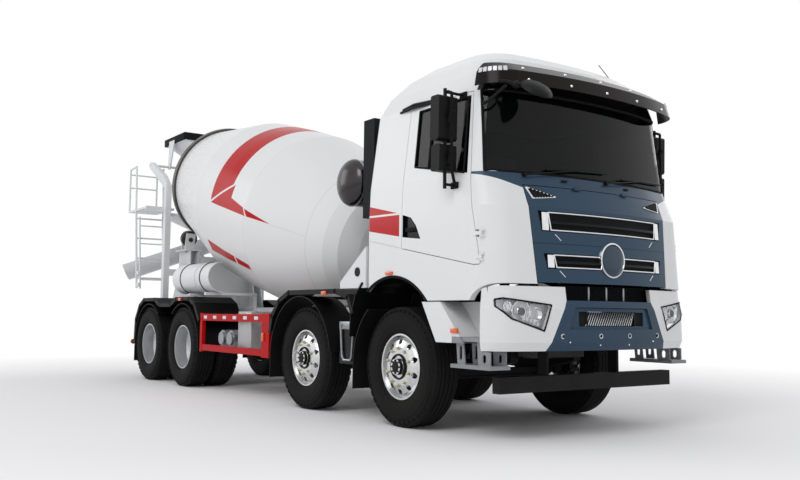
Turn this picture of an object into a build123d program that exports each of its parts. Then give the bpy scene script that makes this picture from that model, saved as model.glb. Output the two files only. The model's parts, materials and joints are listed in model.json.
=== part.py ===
from build123d import *
import math
import os

# Concrete mixer truck, 8x4, forward-control cab, drum over the two rear axles.
# Millimetres.  +X forward, +Y left, +Z up, ground at z = 0, X = 0 at the middle of the whole length.

# ---- driving dimensions -------------------------------------------------------------------
front_axle_x = 3359.3
axle_spacings = (1750.0, 3350.0, 1350.0)

tyre_radius = 542.0
tyre_width = 300.0
rim_radius = 298.0
rim_half_width = 122.0
rim_wall = 16.0
front_wheel_y = 1020.0
rear_wheel_y = 925.0
twin_spacing = 340.0
nave_offset = 138.0
hand_hole_count = 10
hand_hole_radius = 26.0

king_pin_y = 865.0
king_pin_radius = 25.0
spindle_radius = 45.0
rear_spindle_radius = 55.0
pinion_height = 45.0
pinion_reach = 330.0
pinion_tail = 240.0
bearing_clearance = 0.05
seat_gap = 0.3

rail_half_width = 430.0
rail_top = 1030.0
rail_height = 300.0
rail_flange = 85.0
rail_plate = 10.0
rail_front = 1180.0
rail_rear = -7450.0
subframe_height = 60.0

tow_pin_bore = 20.0
tow_pin_reach = 90.0
tow_jaw_gap = 60.0

cab_pivot = (1340.0, 970.0)
cab_eye_radius = 45.0
cab_neck = 300.0
cab_pin_radius = 20.0
cab_lug_y = (458.0, 497.0)
cab_rest_x = -290.0
skirt_radius = 300.0
arch_radius = 735.0
liner_thickness = 8.0
mirror_round = 22.0

lid_pin = (1390.0, 2083.0)
lid_pin_radius = 4.0
lid_eye_radius = 9.0
lid_hinge_width = 80.0
lid_hinge_y = 300.0

door_pin = (1205.0, 1222.0)
door_pin_radius = 7.0
door_eye_radius = 15.0
door_hinge_heights = (1450.0, 1640.0)
door_hinge_height = 60.0

cab_wall = 60.0
cab_floor = 1350.0
cab_floor_thickness = 40.0
cab_front_radius = 4200.0
cab_front_corner = 300.0
cab_rear_corner = 80.0
panel_depth = 42.0
shut_gap = 6.0
glass_thickness = 6.0
glass_inset = 12.0

drum_tilt = 15.5
drum_wall = 10.0
drum_head_x = -1600.0
drum_head_z = 1714.0
ring_station = 5000.0
ring_width = 90.0
ring_seat_radius = 900.0
ring_radius = 932.0
roller_radius = 125.0
roller_width = 80.0
roller_spread = 32.0
roller_shaft_radius = 35.0

hopper_pivot = (-7700.0, 3480.0)
chute_post_x = -7450.0
chute_post_radius = 60.0
chute_heading = 243.0
chute_slope = 20.0
chute_length = 1350.0
chute_tail = 220.0
chute_radius = 250.0
chute_wall = 8.0
chute_rim_z = 2250.0
chute_pivot_z = 1920.0
chute_pin_radius = 15.0

tank_radius = 245.0
tank_half_length = 1080.0

# cab sections, from the skirt to the roof: height, front centre, rear wall, half width
cab_sections = (
    (1134.0, 1500.0, -440.0, 1245.0),
    (1275.0, 1500.0, -440.0, 1245.0),
    (1900.0, 1455.0, -440.0, 1245.0),
    (2190.0, 1345.0, -440.0, 1232.0),
    (2900.0, 1290.0, -430.0, 1140.0),
    (3060.0, 1250.0, -330.0, 1085.0),
    (3200.0, 1150.0, -130.0, 1000.0),
    (3300.0, 1000.0, 80.0, 880.0),
    (3350.0, 850.0, 250.0, 760.0),
)

# drum profile along its axis, from the front head: station, outer radius
drum_profile = (
    (0.0, 330.0),
    (80.0, 520.0),
    (220.0, 720.0),
    (400.0, 815.0),
    (600.0, 862.0),
    (1850.0, 1140.0),
    (2600.0, 1165.0),
    (3400.0, 1165.0),
    (4930.0, 900.0),
    (5070.0, 900.0),
    (5180.0, 800.0),
    (5680.0, 540.0),
)

axle_offsets = [0.0]
for spacing in axle_spacings:
    axle_offsets.append(axle_offsets[-1] - spacing)
front_axles = axle_offsets[:2]
rear_axles = axle_offsets[2:]

nodes = {}


# ---- shape helpers ------------------------------------------------------------------------
def along(offset):
    """X of a place so far ahead of the first axle."""
    return front_axle_x + offset


def block(x0, x1, y0, y1, z0, z1):
    """A block between its low and high faces, with x counted from the first axle."""
    centre = (along((x0 + x1) / 2), (y0 + y1) / 2, (z0 + z1) / 2)
    return Pos(*centre) * Box(abs(x1 - x0), abs(y1 - y0), abs(z1 - z0))


def rod(start, end, radius):
    """A round bar between two places, with x counted from the first axle."""
    low = Vector(along(start[0]), start[1], start[2])
    high = Vector(along(end[0]), end[1], end[2])
    run = high - low
    return Solid.make_cylinder(radius, run.length, Plane(origin=low, z_dir=run))


def side_plate(points, y0, y1):
    """A plate cut to (x, z) points seen from the side, from y0 to y1."""
    outline = Wire.make_polygon([Vector(along(x), y0, z) for x, z in points], close=True)
    return Solid.extrude(Face(outline), Vector(0, y1 - y0, 0))


def front_plate(points, x0, x1):
    """A plate cut to (y, z) points seen from the front, from x0 to x1."""
    outline = Wire.make_polygon([Vector(along(x0), y, z) for y, z in points], close=True)
    return Solid.extrude(Face(outline), Vector(x1 - x0, 0, 0))


def turned(points, x, z):
    """A ring turned about an axle line along Y from (radius, y) points."""
    outline = Wire.make_polygon([Vector(along(x) + r, y, z) for r, y in points], close=True)
    return Solid.revolve(Face(outline), 360, Axis((along(x), 0, z), (0, 1, 0)))


def mirrored(shape):
    return mirror(shape, about=Plane.XZ)


def sided(shape, side):
    """The shape as built for the left, or its mirror image for the right."""
    return shape if side > 0 else mirrored(shape)


def pair(shape):
    """The shape and its mirror image, as solids of one node."""
    return list(shape.solids()) + list(mirrored(shape).solids())


def store(name, *shapes):
    """Keep the solids of a sub-part under its node name."""
    solids = []
    for shape in shapes:
        parts = shape if isinstance(shape, (list, tuple)) else [shape]
        for part in parts:
            solids.extend(part.solids())
    nodes[name] = solids


# ---- wheels -------------------------------------------------------------------------------
def tyre(x, y):
    """One road tyre: bead, side walls, shoulders and tread band."""
    half = tyre_width / 2
    bead = rim_radius + seat_gap
    points = (
        (bead, y - 0.75 * half),
        (bead, y + 0.75 * half),
        (bead + 90, y + half),
        (tyre_radius - 38, y + 0.94 * half),
        (tyre_radius, y + 0.78 * half),
        (tyre_radius, y - 0.78 * half),
        (tyre_radius - 38, y - 0.94 * half),
        (bead + 90, y - half),
    )
    return turned(points, x, tyre_radius)


def rim(x, y, out, bore):
    """One disc wheel: barrel, dished disc with hand holes; out is the side that the nave stands on."""
    inner = rim_radius - rim_wall
    barrel = turned(
        (
            (inner, y - rim_half_width),
            (inner, y + rim_half_width),
            (rim_radius, y + rim_half_width),
            (rim_radius, y - rim_half_width),
        ),
        x,
        tyre_radius,
    )
    nave = y + out * nave_offset
    disc = turned(
        (
            (inner + 1, nave - out * 78),
            (240, nave - out * 26),
            (180, nave),
            (bore, nave),
            (bore, nave - out * 18),
            (176, nave - out * 18),
            (232, nave - out * 42),
            (inner + 1, nave - out * 96),
        ),
        x,
        tyre_radius,
    )
    wheel = barrel + disc
    for index in range(hand_hole_count):
        angle = math.radians(360 / hand_hole_count * (index + 0.5))
        hole_x = x + 222 * math.cos(angle)
        hole_z = tyre_radius + 222 * math.sin(angle)
        wheel -= rod((hole_x, nave - out * 120, hole_z), (hole_x, nave + out * 10, hole_z), hand_hole_radius)
    return wheel


def tube_y(x, z, inner, outer, y0, y1):
    """A tube along Y about an axle line."""
    return turned(((inner, y0), (inner, y1), (outer, y1), (outer, y0)), x, z)


def front_wheel(number, x, side):
    name = f"{number}_{'left' if side > 0 else 'right'}"
    store(f"front_tyre_{name}", sided(tyre(x, front_wheel_y), side))
    nave = front_wheel_y + nave_offset
    bore = spindle_radius + bearing_clearance
    hub = tube_y(x, tyre_radius, bore, 104, front_wheel_y - 50, nave)
    cap = tube_y(x, tyre_radius, 0.0, 72, nave - 20, nave + 38)
    drum = tube_y(x, tyre_radius, 190, 206, front_wheel_y - 60, nave - 18)
    plate = tube_y(x, tyre_radius, 100, 206, nave - 34, nave - 18)
    whole = rim(x, front_wheel_y, 1, 100) + hub + cap + drum + plate
    store(f"front_rim_{name}", sided(whole, side))


def knuckle(number, x, side):
    """Steering knuckle: king pin, forked carrier, spindle and steering arm."""
    name = f"{number}_{'left' if side > 0 else 'right'}"
    eye = 72.0
    pin = rod((x, king_pin_y, tyre_radius - 118), (x, king_pin_y, tyre_radius + 118), king_pin_radius)
    lugs = []
    for z0, z1 in ((eye + 1, 112), (-112, -eye - 1)):
        lugs.append(rod((x, king_pin_y, tyre_radius + z0), (x, king_pin_y, tyre_radius + z1), 52))
        lugs.append(block(x - 45, x + 45, king_pin_y, king_pin_y + 92, tyre_radius + z0, tyre_radius + z1))
    web = block(x - 55, x + 55, king_pin_y + 66, king_pin_y + 92, tyre_radius - 112, tyre_radius + 112)
    nave = front_wheel_y + nave_offset
    spindle = rod((x, king_pin_y + 80, tyre_radius), (x, nave - 21, tyre_radius), spindle_radius)
    arm = block(x - 210, x - 40, king_pin_y - 20, king_pin_y + 20, tyre_radius - 112, tyre_radius - 84)
    body = pin + lugs[0] + lugs[1] + lugs[2] + lugs[3] + web + spindle + arm
    store(f"front_knuckle_{name}", sided(body, side))


def rear_wheel(number, x, side):
    name = f"{number}_{'left' if side > 0 else 'right'}"
    inner = rear_wheel_y - twin_spacing / 2
    outer = rear_wheel_y + twin_spacing / 2
    store(f"rear_tyres_{name}", sided(tyre(x, inner), side), sided(tyre(x, outer), side))
    low = inner + nave_offset
    high = outer - nave_offset
    bore = rear_spindle_radius + bearing_clearance
    hub = tube_y(x, tyre_radius, bore, 104, inner - 90, high + 40)
    cap = tube_y(x, tyre_radius, 0.0, 80, high + 20, high + 62)
    flange = tube_y(x, tyre_radius, 100, 170, low - 1, high + 1)
    drum = tube_y(x, tyre_radius, 190, 206, inner - 100, low - 18)
    plate = tube_y(x, tyre_radius, 100, 206, low - 34, low - 18)
    whole = rim(x, inner, 1, 100) + rim(x, outer, -1, 100) + hub + cap + flange + drum + plate
    store(f"rear_rims_{name}", sided(whole, side))


def front_axle(x):
    """Dropped I-beam with an eye for each king pin."""
    beam_low = tyre_radius - 130
    beam = block(x - 45, x + 45, -640, 640, beam_low, beam_low + 16)
    beam += block(x - 45, x + 45, -640, 640, beam_low + 74, beam_low + 90)
    beam += block(x - 14, x + 14, -640, 640, beam_low, beam_low + 90)
    for side in (1, -1):
        arm = front_plate(
            (
                (side * 630, beam_low),
                (side * 690, beam_low),
                (side * 830, tyre_radius - 60),
                (side * 830, tyre_radius + 60),
                (side * 770, tyre_radius + 60),
                (side * 630, beam_low + 90),
            ),
            x - 38,
            x + 38,
        )
        centre = (x, side * king_pin_y)
        eye = rod((*centre, tyre_radius - 72), (*centre, tyre_radius + 72), 60)
        bore = king_pin_radius + bearing_clearance
        beam += arm + eye - rod((*centre, tyre_radius - 80), (*centre, tyre_radius + 80), bore)
    return beam


def rear_axle(x):
    """Driven axle: tube, differential bowl, spindles and brake back plates."""
    length = rear_wheel_y - twin_spacing / 2 - 130
    tube = rod((x, -length, tyre_radius), (x, length, tyre_radius), 75)
    bowl = Pos(along(x), 0, tyre_radius) * Sphere(215)
    bowl = bowl & block(x - 215, x + 215, -160, 160, tyre_radius - 215, tyre_radius + 215)
    flange_z = tyre_radius + pinion_height
    nose = rod((x - pinion_tail, 0, flange_z), (x, 0, flange_z), 60)
    nose += rod((x, 0, flange_z), (x + pinion_reach, 0, flange_z), 80)
    end = rear_wheel_y + twin_spacing / 2 - nave_offset + 18
    spindle = rod((x, -end, tyre_radius), (x, end, tyre_radius), rear_spindle_radius)
    plates = []
    for side in (1, -1):
        plates.append(sided(tube_y(x, tyre_radius, 50, 185, length - 14, length), side))
    return tube + bowl + nose + spindle + plates[0] + plates[1]


def running_gear():
    for number, x in enumerate(front_axles, 1):
        for side in (1, -1):
            front_wheel(number, x, side)
            knuckle(number, x, side)
    for number, x in enumerate(rear_axles, 3):
        for side in (1, -1):
            rear_wheel(number, x, side)
    store("axles", *[front_axle(x) for x in front_axles], *[rear_axle(x) for x in rear_axles])


# ---- chassis ------------------------------------------------------------------------------
def frame_rails():
    """Two channel rails, their cross members and the plate that closes the rear end."""
    low = rail_top - rail_height
    web = rail_half_width - rail_plate
    rail = block(rail_rear, rail_front, web, rail_half_width, low, rail_top)
    for z0 in (low, rail_top - rail_plate):
        rail += block(rail_rear, rail_front, rail_half_width - rail_flange, rail_half_width, z0, z0 + rail_plate)
    frame = rail + mirrored(rail)
    for x in (1110.0, -1640.0, -2700.0, -4000.0, -5775.0, -7300.0):
        member = block(x - 50, x + 50, -web, web, rail_top - 120, rail_top - rail_plate)
        member -= block(x - 38, x + 60, -web + 1, web - 1, rail_top - 110, rail_top - rail_plate - 10)
        frame += member
    frame += block(rail_rear, rail_rear + 12, -rail_half_width, rail_half_width, low, rail_top)
    pivot_x, pivot_z = cab_pivot
    for side in (1, -1):
        y0, y1 = cab_lug_y[0] - seat_gap, cab_lug_y[1] + seat_gap
        bracket = rod((pivot_x, y0 - 15, pivot_z), (pivot_x, y1 + 15, pivot_z), cab_pin_radius)
        for wall_y in (y0 - 15, y1):
            bracket += block(rail_front - 80, pivot_x, wall_y, wall_y + 15, pivot_z - 75, pivot_z + 30)
            bracket += rod((pivot_x, wall_y, pivot_z), (pivot_x, wall_y + 15, pivot_z), cab_eye_radius)
        bracket += block(rail_front - 80, pivot_x, web, y1 + 15, pivot_z - 75, pivot_z - 55)
        bracket += block(rail_front - 80, rail_front, web, y0, pivot_z - 75, pivot_z + 30)
        frame += sided(bracket, side)
        rest = block(cab_rest_x - 40, cab_rest_x + 40, web - 60, rail_half_width, rail_top - 1, cab_floor - seat_gap)
        frame += sided(rest, side)
    return frame


def arch_band(x0, x1, z_end, z_mid, thickness, y0, y1):
    """A leaf pack: a band of even thickness bent up or down between its ends."""
    middle = (x0 + x1) / 2
    low = ThreePointArc(
        (along(x0), y0, z_end), (along(middle), y0, z_mid), (along(x1), y0, z_end)
    )
    high = ThreePointArc(
        (along(x0), y0, z_end + thickness / 3),
        (along(middle), y0, z_mid + thickness),
        (along(x1), y0, z_end + thickness / 3),
    )
    ends = [
        Edge.make_line(low @ 0, high @ 0),
        Edge.make_line(low @ 1, high @ 1),
    ]
    outline = Wire([low.edges()[0], ends[0], high.edges()[0], ends[1]])
    return Solid.extrude(Face(outline), Vector(0, y1 - y0, 0))


def leaf_springs():
    """Leaf packs over each front axle and one pack each side over the rear bogie."""
    rail_low = rail_top - rail_height
    beam_top = tyre_radius - 40
    y0, y1 = rail_half_width - 75, rail_half_width + 15
    shapes = []
    for x in front_axles:
        pack = arch_band(x - 700, x + 700, beam_top + 90, beam_top, 90, y0, y1)
        hangers = []
        for end in (x - 680, x + 680):
            hangers.append(block(end - 35, end + 35, y0, y1, beam_top + 100, rail_low))
        shapes.extend(pair(pack + hangers[0] + hangers[1]))
    bogie = sum(rear_axles) / 2
    reach = (rear_axles[0] - rear_axles[1]) / 2
    pad = tyre_radius + 75
    pack = arch_band(bogie - reach - 70, bogie + reach + 70, pad + 1, pad + 30, 72, y0, y1)
    saddle = block(bogie - 90, bogie + 90, y0, y1, pad - 150, pad + 60)
    trunnion = block(bogie - 60, bogie + 60, 330, y1, pad - 190, rail_low)
    for x in rear_axles:
        pack += block(x - 55, x + 55, y0, y1, pad, pad + 40)
    shapes.extend(pair(pack + saddle + trunnion))
    return shapes


def powertrain():
    """Engine and gearbox in one plain block, the radiator, and the two propeller shafts."""
    engine = block(-700, 560, -310, 310, 640, 1270)
    gearbox = block(-1560, -690, -200, 200, 700, 880)
    flange_z = tyre_radius + pinion_height
    shafts = []
    for start, end, start_z in (
        (-1560.0, rear_axles[0] + pinion_reach, 800.0),
        (rear_axles[0] - pinion_tail, rear_axles[1] + pinion_reach, flange_z),
    ):
        shaft = rod((start, 0, start_z), (start - 45, 0, start_z), 55)
        shaft += rod((start - 30, 0, start_z), (end + 30, 0, flange_z), 46)
        shaft += rod((end + 45, 0, flange_z), (end, 0, flange_z), 55)
        shafts.append(shaft)
    web = rail_half_width - rail_plate
    for side in (1, -1):
        engine += sided(block(100, 200, 309, web, 860, 920), side)
        gearbox += sided(block(-1500, -1420, 199, web, 780, 840), side)
    core = block(760, 860, -335, 335, 640, 1240) + block(560, 761, -300, 300, 700, 1180)
    return [engine + gearbox + core, *shafts]


# ---- body sections ------------------------------------------------------------------------
def section(z, front, rear, half_width, inset, corner, rear_corner):
    """One level outline: bowed front, straight sides, rounded corners."""
    front_x = along(front - inset)
    rear_x = along(rear + inset)
    half = half_width - inset
    radius = cab_front_radius - inset
    disc = Pos(front_x - radius, 0) * Circle(radius)
    slab = Pos((front_x + rear_x) / 2, 0) * Rectangle(front_x - rear_x, 2 * half)
    shape = disc & slab
    order = shape.vertices().sort_by(Axis.X)
    shape = fillet(order[-2:], max(corner - inset, 15))
    order = shape.vertices().sort_by(Axis.X)
    shape = fillet(order[:2], max(rear_corner - inset, 15))
    return Pos(0, 0, z) * shape


def level_loft(sections, inset=0.0, corner=cab_front_corner, rear_corner=cab_rear_corner):
    wires = []
    for z, front, rear, half_width in sections:
        face = section(z, front, rear, half_width, inset, corner, rear_corner)
        wires.append(face.faces()[0].outer_wire())
    return Solid.make_loft(wires, ruled=True)


def between(sections, z):
    """The section at a height, straight between its neighbours in the table."""
    for low, high in zip(sections, sections[1:]):
        if low[0] <= z <= high[0]:
            share = (z - low[0]) / (high[0] - low[0])
            return tuple(a + share * (b - a) for a, b in zip(low, high))
    return sections[-1]


def corner_centre(sections, z, corner):
    """Where the round front corner turns: its centre's x and y, and the front's x, at a height."""
    front, half_width = between(sections, z)[1::2]
    y = half_width - corner
    radius = cab_front_radius
    return front - radius + math.sqrt((radius - corner) ** 2 - y**2), y, front


def skin_y(sections, x, z, corner=cab_front_corner):
    """Half width of the body at a place along it and a height."""
    centre_x, centre_y, front = corner_centre(sections, z, corner)
    if x <= centre_x:
        return centre_y + corner
    return centre_y + math.sqrt(corner**2 - (x - centre_x) ** 2)


def skin_x(sections, y, z, corner=cab_front_corner):
    """How far forward the body's face stands at a place across it and a height."""
    centre_x, centre_y, front = corner_centre(sections, z, corner)
    if y * (cab_front_radius - corner) <= centre_y * cab_front_radius:
        return front - cab_front_radius + math.sqrt(cab_front_radius**2 - y**2)
    return centre_x + math.sqrt(corner**2 - (y - centre_y) ** 2)


def cut_sections(sections, z0, z1):
    middle = [row for row in sections if z0 < row[0] < z1]
    return [between(sections, z0), *middle, between(sections, z1)]


# outlines seen from the side (x from the first axle, z) and from the front (y, z)
door_outline = (
    (150, 1605), (150, 2870), (1000, 2880), (1060, 2160), (1193, 1432), (1185, 1423), (1130, 1423),
)
door_window = ((300, 2320), (1030, 2178), (985, 2850), (280, 2845))
windscreen_outline = ((-1138, 2190), (1138, 2190), (1095, 2885), (-1095, 2885))
rear_window_outline = ((-700, 2250), (700, 2250), (680, 2700), (-680, 2700))
panel_outline = ((-850, 2080), (850, 2080), (850, 1940), (805, 1282), (-805, 1282), (-850, 1940))
handle_pocket = ((160, 1905), (285, 1872), (360, 1800), (430, 1672), (160, 1703))
side_crease = ((-450, 1712), (145, 1602), (145, 1610), (-450, 1720))


def grown(points, amount):
    """The outline moved outward by an amount, or inward when it is negative."""
    face = Face(Wire.make_polygon([Vector(a, b, 0) for a, b in points], close=True))
    moved = offset(face, amount, kind=Kind.INTERSECTION)
    ring = moved.faces()[0].outer_wire()
    corners = [edge.position_at(0) for edge in ring.order_edges()]
    return [(corner.X, corner.Y) for corner in corners]


def door_hinge(low):
    """One door hinge: the room it needs, the pin with its two lugs, and the door's eye."""
    x, y = door_pin
    high = low + door_hinge_height
    edge = door_hinge_height / 4
    recess = rod((x, y, low - 1), (x, y, high + 1), door_eye_radius + 3)
    recess += block(x - 60, x, y - 22, y + 20, low - 1, high + 1)
    lugs = rod((x, y, low - 1), (x, y, high + 1), door_pin_radius)
    for z0, z1 in ((low - 1, low + edge), (high - edge, high + 1)):
        lugs += rod((x, y, z0), (x, y, z1), door_eye_radius - 3)
        lugs += block(x - 2, x + 25, y - 60, y, z0, z1)
    eye = rod((x, y, low + edge + seat_gap), (x, y, high - edge - seat_gap), door_eye_radius)
    eye += block(x - 75, x, y - 6, y + 14, low + edge + seat_gap, high - edge - seat_gap)
    eye += block(x - 75, x - 60, y - 40, y, low + edge + seat_gap, high - edge - seat_gap)
    eye -= rod((x, y, low), (x, y, high), door_pin_radius + bearing_clearance)
    return recess, lugs, eye


def lid_hinge(middle):
    """One hinge of the front lid: the pin with its two lugs under the cowl, and the lid's eye."""
    x, z = lid_pin
    half = lid_hinge_width / 2
    edge = half - lid_hinge_width / 4
    back = x - 40
    lugs = rod((x, middle - half, z), (x, middle + half, z), lid_pin_radius)
    for y0, y1 in ((middle - half, middle - edge), (middle + edge, middle + half)):
        lugs += rod((x, y0, z), (x, y1, z), lid_eye_radius)
        lugs += block(back, x, y0, y1, z + 1, z + 14)
    y0, y1 = middle - edge + seat_gap, middle + edge - seat_gap
    eye = rod((x, y0, z), (x, y1, z), lid_eye_radius) + block(back, x, y0, y1, z - 14, z - 2)
    eye -= rod((x, y0 - 1, z), (x, y1 + 1, z), lid_pin_radius + bearing_clearance)
    return lugs, eye


def cab_parts():
    outer = level_loft(cab_sections)
    roof_low = cab_sections[-1][0] - cab_wall
    room = level_loft(cut_sections(cab_sections, cab_floor + cab_floor_thickness, roof_low), cab_wall)
    under = level_loft(cut_sections(cab_sections, cab_sections[0][0], cab_floor), cab_wall)
    shell = outer - room - under
    shell -= block(-450, -370, -900, 900, cab_sections[0][0] - 1, cab_floor)
    # the front skirt ends on an arc about the tilt pins, so that it lifts off the bumper
    pivot_x, pivot_z = cab_pivot
    shell -= rod((pivot_x, -1300, pivot_z), (pivot_x, 1300, pivot_z), skirt_radius)
    shell -= block(pivot_x, 1600, -1300, 1300, cab_sections[0][0] - 1, pivot_z + skirt_radius)
    # lugs down to the tilt pins
    for side in (1, -1):
        back = pivot_x - cab_neck
        lug = block(back - 35, pivot_x, *cab_lug_y, pivot_z - 35, pivot_z + 35)
        lug += block(back - 35, back + 35, *cab_lug_y, pivot_z - 35, cab_floor + 1)
        lug += rod((pivot_x, cab_lug_y[0], pivot_z), (pivot_x, cab_lug_y[1], pivot_z), cab_eye_radius)
        pin_bore = cab_pin_radius + bearing_clearance
        lug -= rod((pivot_x, 400, pivot_z), (pivot_x, 600, pivot_z), pin_bore)
        shell += sided(lug, side)
    # wheel arches, each with a thin liner under the floor
    arch_z = tyre_radius + 90
    shell -= rod((0, -1300, arch_z), (0, 1300, arch_z), arch_radius)
    for side in (1, -1):
        liner = rod((0, 500, arch_z), (0, 1195, arch_z), arch_radius + 1)
        liner -= rod((0, 499, arch_z), (0, 1196, arch_z), arch_radius - liner_thickness)
        liner &= block(-430, arch_radius + 1, 500, 1195, cab_sections[0][0], cab_floor + 5)
        shell += sided(liner, side)
        shell -= sided(side_plate(side_crease, 1239, 1300), side)
    # the middle below the lid stands open over the bumper's mesh band
    low, lid_low, lid_half = cab_sections[0][0], panel_outline[3][1], panel_outline[3][0]
    shell -= block(1250, 1600, -lid_half, lid_half, low - 1, lid_low)
    # front lid and its seat
    lid_zone = outer - (Pos(-panel_depth, 0, 0) * outer)
    lid = lid_zone & front_plate(panel_outline, 900, 1600)
    seat_cut = front_plate(grown(panel_outline, shut_gap), 1150, 1600)
    shell -= seat_cut
    # screens
    shell -= front_plate(windscreen_outline, 1045, 1600)
    shell -= front_plate(rear_window_outline, -600, -300)
    pane_zone = level_loft(cab_sections, glass_inset) - level_loft(cab_sections, glass_inset + glass_thickness)
    screen = pane_zone & front_plate(grown(windscreen_outline, -seat_gap), 1045, 1600)
    rear_pane = pane_zone & front_plate(grown(rear_window_outline, -seat_gap), -600, -300)
    store("cab_glass", screen, rear_pane)
    # doors
    wall_zone = outer - level_loft(cab_sections, cab_wall)
    for side, label in ((1, "left"), (-1, "right")):
        opening = sided(side_plate(grown(door_outline, shut_gap), 880, 1300), side)
        shell -= opening
        slab = wall_zone & sided(side_plate(door_outline, 890, 1300), side)
        window = sided(side_plate(door_window, 880, 1300), side)
        leaf = slab - window - sided(side_plate(handle_pocket, 1215, 1300), side)
        for hinge_z in door_hinge_heights:
            recess, lugs, eye = door_hinge(hinge_z)
            shell -= sided(recess, side)
            shell += sided(lugs, side)
            leaf += sided(eye, side)
        store(f"door_{label}", leaf)
        pane = pane_zone & sided(side_plate(grown(door_window, -seat_gap), 880, 1300), side)
        store(f"door_glass_{label}", pane)
    # slots of the front lid
    for z0, z1, half in ((1700, 1870, 770), (1395, 1520, 735)):
        slot = front_plate(((-half, z1), (half, z1), (half - 30, z0), (30 - half, z0)), 1200, 1600)
        lid -= slot
    bars = []
    for z in (1765, 1440):
        bars.append(
            lid_zone
            & front_plate(((-790, z), (790, z), (790, z + 22), (-790, z + 22)), 1200, 1600)
        )
    lid = lid + bars[0] + bars[1]
    for y in (-lid_hinge_y, lid_hinge_y):
        lugs, eye = lid_hinge(y)
        shell += lugs
        lid += eye
    store("front_panel", lid)
    return shell


def visor():
    table = ((2903.0, 1470.0, 400.0, 1185.0), (3020.0, 1440.0, 400.0, 1165.0), (3114.0, 1300.0, 400.0, 1135.0))
    band = level_loft(table) - level_loft(table, 10)
    band = band & block(1080, 1600, -1300, 1300, 2800, 3200)
    for y in (-700.0, 0.0, 700.0):
        start = skin_x(cab_sections, abs(y) - 12, 2990) + seat_gap
        end = skin_x(table, abs(y) + 12, 3010) - 4
        band += block(start, end, y - 12, y + 12, 2990, 3010)
    return band


def dashboard():
    """Dashboard, steering column and wheel on the left."""
    room = level_loft(cut_sections(cab_sections, 1395.0, 2300.0), cab_wall + seat_gap)
    profile = ((1000, 1400), (1480, 1400), (1480, 2090), (1180, 2130), (1000, 2140), (860, 2020), (960, 1900))
    base = side_plate(profile, -1140, 1140) & room
    column = rod((1030, 560, 1589), (740, 560, 2060), 28)
    wheel = Plane(origin=(along(735), 560, 2070), z_dir=(-0.47, 0, 0.88)) * Torus(225, 16)
    spoke = rod((735, 345, 2070), (735, 775, 2070), 12)
    hub = rod((750, 560, 2042), (728, 560, 2083), 55)
    return base + column + wheel + spoke + hub


def seat(y):
    base = block(120, 560, y - 210, y + 210, cab_floor + cab_floor_thickness + seat_gap, 1600)
    cushion = block(90, 600, y - 250, y + 250, 1590, 1740)
    back = side_plate(((100, 1700), (220, 1700), (120, 2400), (20, 2400)), y - 245, y + 245)
    head = side_plate(((30, 2380), (110, 2380), (90, 2600), (20, 2600)), y - 130, y + 130)
    return base + cushion + back + head


def mirrors():
    """Main and wide-angle mirror on a tube arm that the door carries."""
    arm_x, arm_y, size = 900.0, 1350.0, 12.0
    tube = rod((arm_x, arm_y, 2890), (arm_x, arm_y, 2050), 15)
    for z in (2862.0, 2085.0):
        foot = skin_y(cab_sections, arm_x - size, z - size) + seat_gap
        tube += rod((arm_x, foot, z), (arm_x, arm_y, z), size)
    shape = ((-75, 2450), (40, 2450), (50, 2820), (-65, 2820))
    top = side_plate([(arm_x + x, z) for x, z in shape], 1255, 1450)
    shape = ((-75, 2190), (40, 2190), (46, 2410), (-69, 2410))
    low = side_plate([(arm_x + x, z) for x, z in shape], 1262, 1440)
    housings = [fillet(box.edges().filter_by(Axis.Y), mirror_round) for box in (top, low)]
    return tube + housings[0] + housings[1]


def air_intake():
    return block(-645, -460, -1150, -830, 1950, 2920) + block(-470, -440 - seat_gap, -1100, -880, 2100, 2800)


def cab():
    shell = cab_parts()
    store("cab_shell", shell)
    store("sun_visor", visor())
    store("dashboard", dashboard())
    store("seats", seat(560), seat(-560))
    store("air_intake", air_intake())
    arm = mirrors()
    store("mirror_left", arm)
    store("mirror_right", mirrored(arm))


# ---- front end ----------------------------------------------------------------------------
bumper_sections = (
    (731.0, 1500.0, 600.0, 1245.0),
    (800.0, 1530.0, 600.0, 1245.0),
    (1070.0, 1522.0, 600.0, 1245.0),
    (1150.0, 1503.0, 600.0, 1243.0),
    (1250.0, 1490.0, 600.0, 1240.0),
)
bumper_wall = 40.0
bumper_rear = 1205.0
bumper_low, bumper_high = bumper_sections[0][0], bumper_sections[-1][0]
centre_high = 1140.0
centre_half = 530.0
centre_outline = (
    (-735, bumper_low), (735, bumper_low), (centre_half, centre_high), (centre_half, bumper_high + 20),
    (-centre_half, bumper_high + 20), (-centre_half, centre_high),
)
headlamp_outline = ((680, 1105), (1110, 1158), (1165, 1145), (1170, 1085), (1062, 981), (765, 884))
headlamp_round = 22.0
number_recess = ((-520, 905), (520, 905), (450, 1085), (-450, 1085))
vent_half, vent_low, vent_high = 405.0, 930.0, 1050.0


def round_plate(points, x0, x1, radius):
    """A plate cut to an outline seen from the front, with its corners rounded."""
    plate = front_plate(points, x0, x1)
    return fillet(plate.edges().filter_by(Axis.X), radius)


def bumper_corner(band):
    """The white corner with its lamp seat, cut back so that the skirt of the cab passes it."""
    pivot_x, pivot_z = cab_pivot
    swept = rod((pivot_x, 0, pivot_z), (pivot_x, 1300, pivot_z), skirt_radius - 15)
    swept += block(pivot_x, 1600, 0, 1300, bumper_low, bumper_high)
    zone = block(bumper_rear, 1600, 0, 1300, bumper_low, bumper_high) & swept
    corner = band & zone
    corner -= front_plate(grown(centre_outline, seat_gap), 1000, 1600)
    return corner - round_plate(grown(headlamp_outline, seat_gap), 1000, 1600, headlamp_round)


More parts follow.
